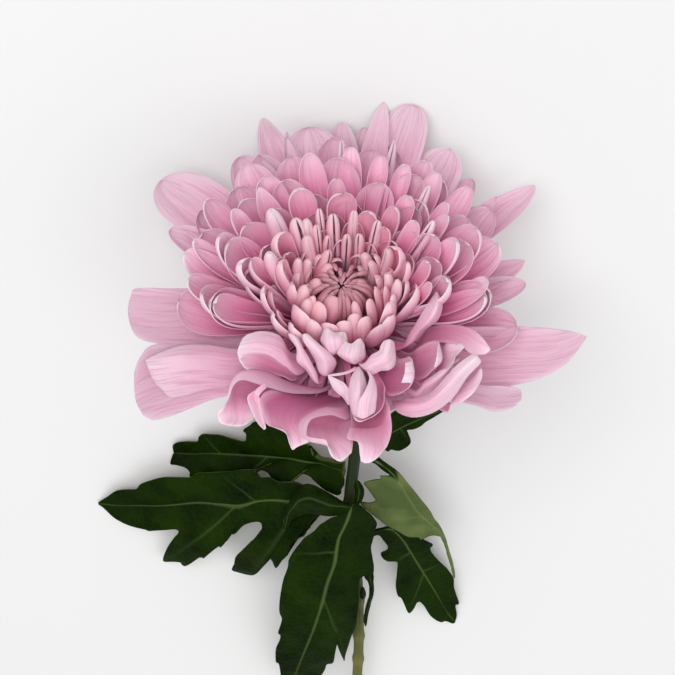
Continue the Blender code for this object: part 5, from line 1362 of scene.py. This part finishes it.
class BloomSettings(PropertyGroup):
    """Sizes and colours of the head's petals."""

    filler_count: IntProperty(
        name="Filling florets", description="Florets on the spiral between those placed by eye",
        default=140, min=40, max=300)
    thickness: FloatProperty(
        name="Petal thickness", description="Thickness of every petal, as a share of its usual one",
        default=1.0, min=0.5, max=1.5, subtype="FACTOR")
    # The throat's colour is partly the petal's own and partly painted shade of the bloom's depth.
    throat: colour_choice("Throat", "Inside of a petal at its root", "#982659")
    inside: colour_choice("Inside", "Inside of a petal, a third of the way out", "#ee80b2")
    pale: colour_choice("Pale inside", "Inside of a petal, two thirds of the way out", "#f9bdd6")
    tip: colour_choice("Tip", "Inside of a petal at its tip", "#fbe1eb")
    back: colour_choice("Back", "Back of a petal", "#eeb0ca")
    heart: colour_choice("Heart", "Back of the quills round the button", "#e2889e")
    outermost: colour_choice("Outermost", "Greyer pink of the outermost petals", "#bea4b2")


class LeafSettings(PropertyGroup):
    """Sizes and colours of the leaves and the stem."""

    blade: FloatProperty(
        name="Leaf thickness", description="Thickness of a leaf's blade", default=0.0005,
        min=0.0003, max=0.001, unit="LENGTH")
    top: colour_choice("Upper side", "Lighter tone of a leaf's upper side", "#172b00")
    underside: colour_choice("Underside", "Lighter tone of a leaf's underside", "#707d4a")
    veins: colour_choice("Veins", "Midrib and side veins", "#7f9a5c")
    stem: colour_choice("Stem", "Stem at its cut end", "#7c7a42")


class StageSettings(PropertyGroup):
    """The studio round the flower."""

    floor: colour_choice("Floor colour", "Colour of the table", "#e7e7e7")
    sky_strength: FloatProperty(
        name="Sky strength", description="Strength of the even light from all round", default=0.6,
        min=0.0)
    key_power: FloatProperty(
        name="Key light", description="Power of the lamp at the back left", default=5.4, min=0.0,
        unit="POWER")
    fill_power: FloatProperty(
        name="Fill light", description="Power of the lamp at the near right", default=3.2, min=0.0,
        unit="POWER")


class FLOWER_OT_heart(Operator):
    """The receptacle that the florets grow from, and the cup of bracts under it"""

    bl_idname = "flower.heart"
    bl_label = "Build the heart and bracts"

    def execute(self, context):
        flesh = plant_tissue("receptacle_tissue", "#7a3050", "#954466", 0.7, 200.0)
        green = plant_tissue("bract_tissue", "#3c5226", "#55683a", 0.6, 300.0)
        make_tube("heart", turned_rings(HEART_PROFILE), {}, flesh, "bloom")
        make_tube("bract_cup", turned_rings(INVOLUCRE_PROFILE), {}, green, "involucre")
        make_petals("bracts", bract_florets(), green, "involucre")
        return {"FINISHED"}


class FLOWER_OT_button(Operator):
    """The closed button of claws in the middle of the bloom"""

    bl_idname = "flower.button"
    bl_label = "Build the button"

    def execute(self, context):
        make_petals("button_florets", button_florets(), petal_material())
        return {"FINISHED"}


class FLOWER_OT_quills(Operator):
    """The quills, spoons and blades placed one by one round the button"""

    bl_idname = "flower.quills"
    bl_label = "Build the quills"

    def execute(self, context):
        make_petals("quill_florets", seen_florets(("quill", "spoon", "blade")), petal_material())
        return {"FINISHED"}


class FLOWER_OT_cups(Operator):
    """The cupped petals placed one by one outside the quills"""

    bl_idname = "flower.cups"
    bl_label = "Build the cupped petals"

    def execute(self, context):
        make_petals("cupped_petals", seen_florets(("cup", "flat")), petal_material())
        return {"FINISHED"}


class FLOWER_OT_fillers(Operator):
    """The florets of the spiral that fill the head"""

    bl_idname = "flower.fillers"
    bl_label = "Build the filling florets"

    def execute(self, context):
        count = context.scene.flower_bloom.filler_count
        make_petals("spiral_florets", filler_florets(count), petal_material())
        return {"FINISHED"}


class FLOWER_OT_outer(Operator):
    """The broad outer petals and the low ones under the front"""

    bl_idname = "flower.outer"
    bl_label = "Build the outer petals"

    def execute(self, context):
        make_petals("outer_petals", outer_florets(), petal_material())
        return {"FINISHED"}


class FLOWER_OT_ruffles(Operator):
    """The ruffled petals of the front and the broad ones beside them, each through seen points"""

    bl_idname = "flower.ruffles"
    bl_label = "Build the ruffled petals"

    def execute(self, context):
        make_petals("ruffled_petals", ruffled_florets(), petal_material())
        return {"FINISHED"}


class FLOWER_OT_stem(Operator):
    """The ridged stem, swollen where leaves grow, with its cut end"""

    bl_idname = "flower.stem"
    bl_label = "Build the stem"

    def execute(self, context):
        stem_bark(stem_skin())
        return {"FINISHED"}


class FLOWER_OT_leaves(Operator):
    """The six lobed leaves and the lobes that stand off the front one"""

    bl_idname = "flower.leaves"
    bl_label = "Build the leaves"

    def execute(self, context):
        thickness = context.scene.flower_leaf.blade / MM
        skin = leaf_skin()
        for name in LEAVES:
            leaf_blade(name, thickness, skin)
        for name in LOBES:
            leaf_lobe(name, thickness, skin)
        return {"FINISHED"}


class FLOWER_OT_stage(Operator):
    """A pale table, soft studio light and the camera"""

    bl_idname = "flower.stage"
    bl_label = "Set the stage"

    def execute(self, context):
        scene, settings = context.scene, context.scene.flower_stage
        scene.view_settings.view_transform = "Standard"
        scene.world = bpy.data.worlds.new("studio_sky")
        scene.world.use_nodes = True
        sky = scene.world.node_tree.nodes["Background"]
        sky.inputs["Color"].default_value = (1.0, 1.0, 1.0, 1.0)
        sky.inputs["Strength"].default_value = settings.sky_strength
        mesh = bpy.data.meshes.new("table")
        square = ((-1, -1), (1, -1), (1, 1), (-1, 1))
        mesh.from_pydata([(x * TABLE_HALF, y * TABLE_HALF, 0) for x, y in square], [], [(0, 1, 2, 3)])
        # A matt white board has no gloss, so that it shows only soft shadows.
        mesh.materials.append(new_material("matt_white_table", {
            "Base Color": settings.floor, "Roughness": 0.9})[0])
        table = bpy.data.objects.new("table", mesh)
        scene.collection.objects.link(table)
        for name, place, width, power in (("key_light", (-0.25, 0.5, 0.95), 0.8, settings.key_power),
                                          ("fill_light", (0.4, -0.25, 0.95), 0.9, settings.fill_power)):
            light = bpy.data.lights.new(name, "AREA")
            light.energy, light.size = power, width
            lamp = bpy.data.objects.new(name, light)
            lamp.location = place
            aim = Vector(LIGHTS_AIM) - Vector(place)
            lamp.rotation_euler = aim.to_track_quat("-Z", "Y").to_euler()
            scene.collection.objects.link(lamp)
        data = bpy.data.cameras.new("camera")
        data.sensor_width = 36.0
        data.lens = FOCAL_PIXELS / PICTURE_PIXELS * data.sensor_width
        data.clip_start = 0.01
        camera = bpy.data.objects.new("camera", data)
        eye = (camera_eye() + CENTRE_SHIFT) * MM
        columns = (*view_axes(), eye)
        camera.matrix_world = Matrix([[column[i] for column in columns] for i in range(3)]
                                     + [[0, 0, 0, 1]])
        scene.collection.objects.link(camera)
        scene.camera = camera
        return {"FINISHED"}


class FLOWER_PT_panel(Panel):
    """Lists the settings and the steps that build the flower"""

    bl_label = "Disbud chrysanthemum"
    bl_idname = "FLOWER_PT_panel"
    bl_space_type = "VIEW_3D"
    bl_region_type = "UI"
    bl_category = "Flower"

    def draw(self, context):
        for group, kind in SETTINGS.items():
            for key in kind.__annotations__:
                self.layout.prop(getattr(context.scene, group), key)
        for step in STEPS:
            self.layout.operator(step.bl_idname)


STEPS = (FLOWER_OT_heart, FLOWER_OT_button, FLOWER_OT_quills, FLOWER_OT_cups, FLOWER_OT_fillers,
         FLOWER_OT_outer, FLOWER_OT_ruffles, FLOWER_OT_stem, FLOWER_OT_leaves, FLOWER_OT_stage)
SETTINGS = {"flower_bloom": BloomSettings, "flower_leaf": LeafSettings, "flower_stage": StageSettings}


def register():
    """Registers the settings, the steps and the panel."""
    for key, group in SETTINGS.items():
        bpy.utils.register_class(group)
        setattr(bpy.types.Scene, key, PointerProperty(type=group))
    for step in (*STEPS, FLOWER_PT_panel):
        bpy.utils.register_class(step)


def unregister():
    """Takes back what register did."""
    for step in (FLOWER_PT_panel, *reversed(STEPS)):
        bpy.utils.unregister_class(step)
    for key, group in SETTINGS.items():
        delattr(bpy.types.Scene, key)
        bpy.utils.unregister_class(group)


def main():
    """Builds every piece in order."""
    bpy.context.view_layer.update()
    register()
    for step in STEPS:
        group, name = step.bl_idname.split(".")
        getattr(getattr(bpy.ops, group), name)()


if __name__ == "__main__":
    main()
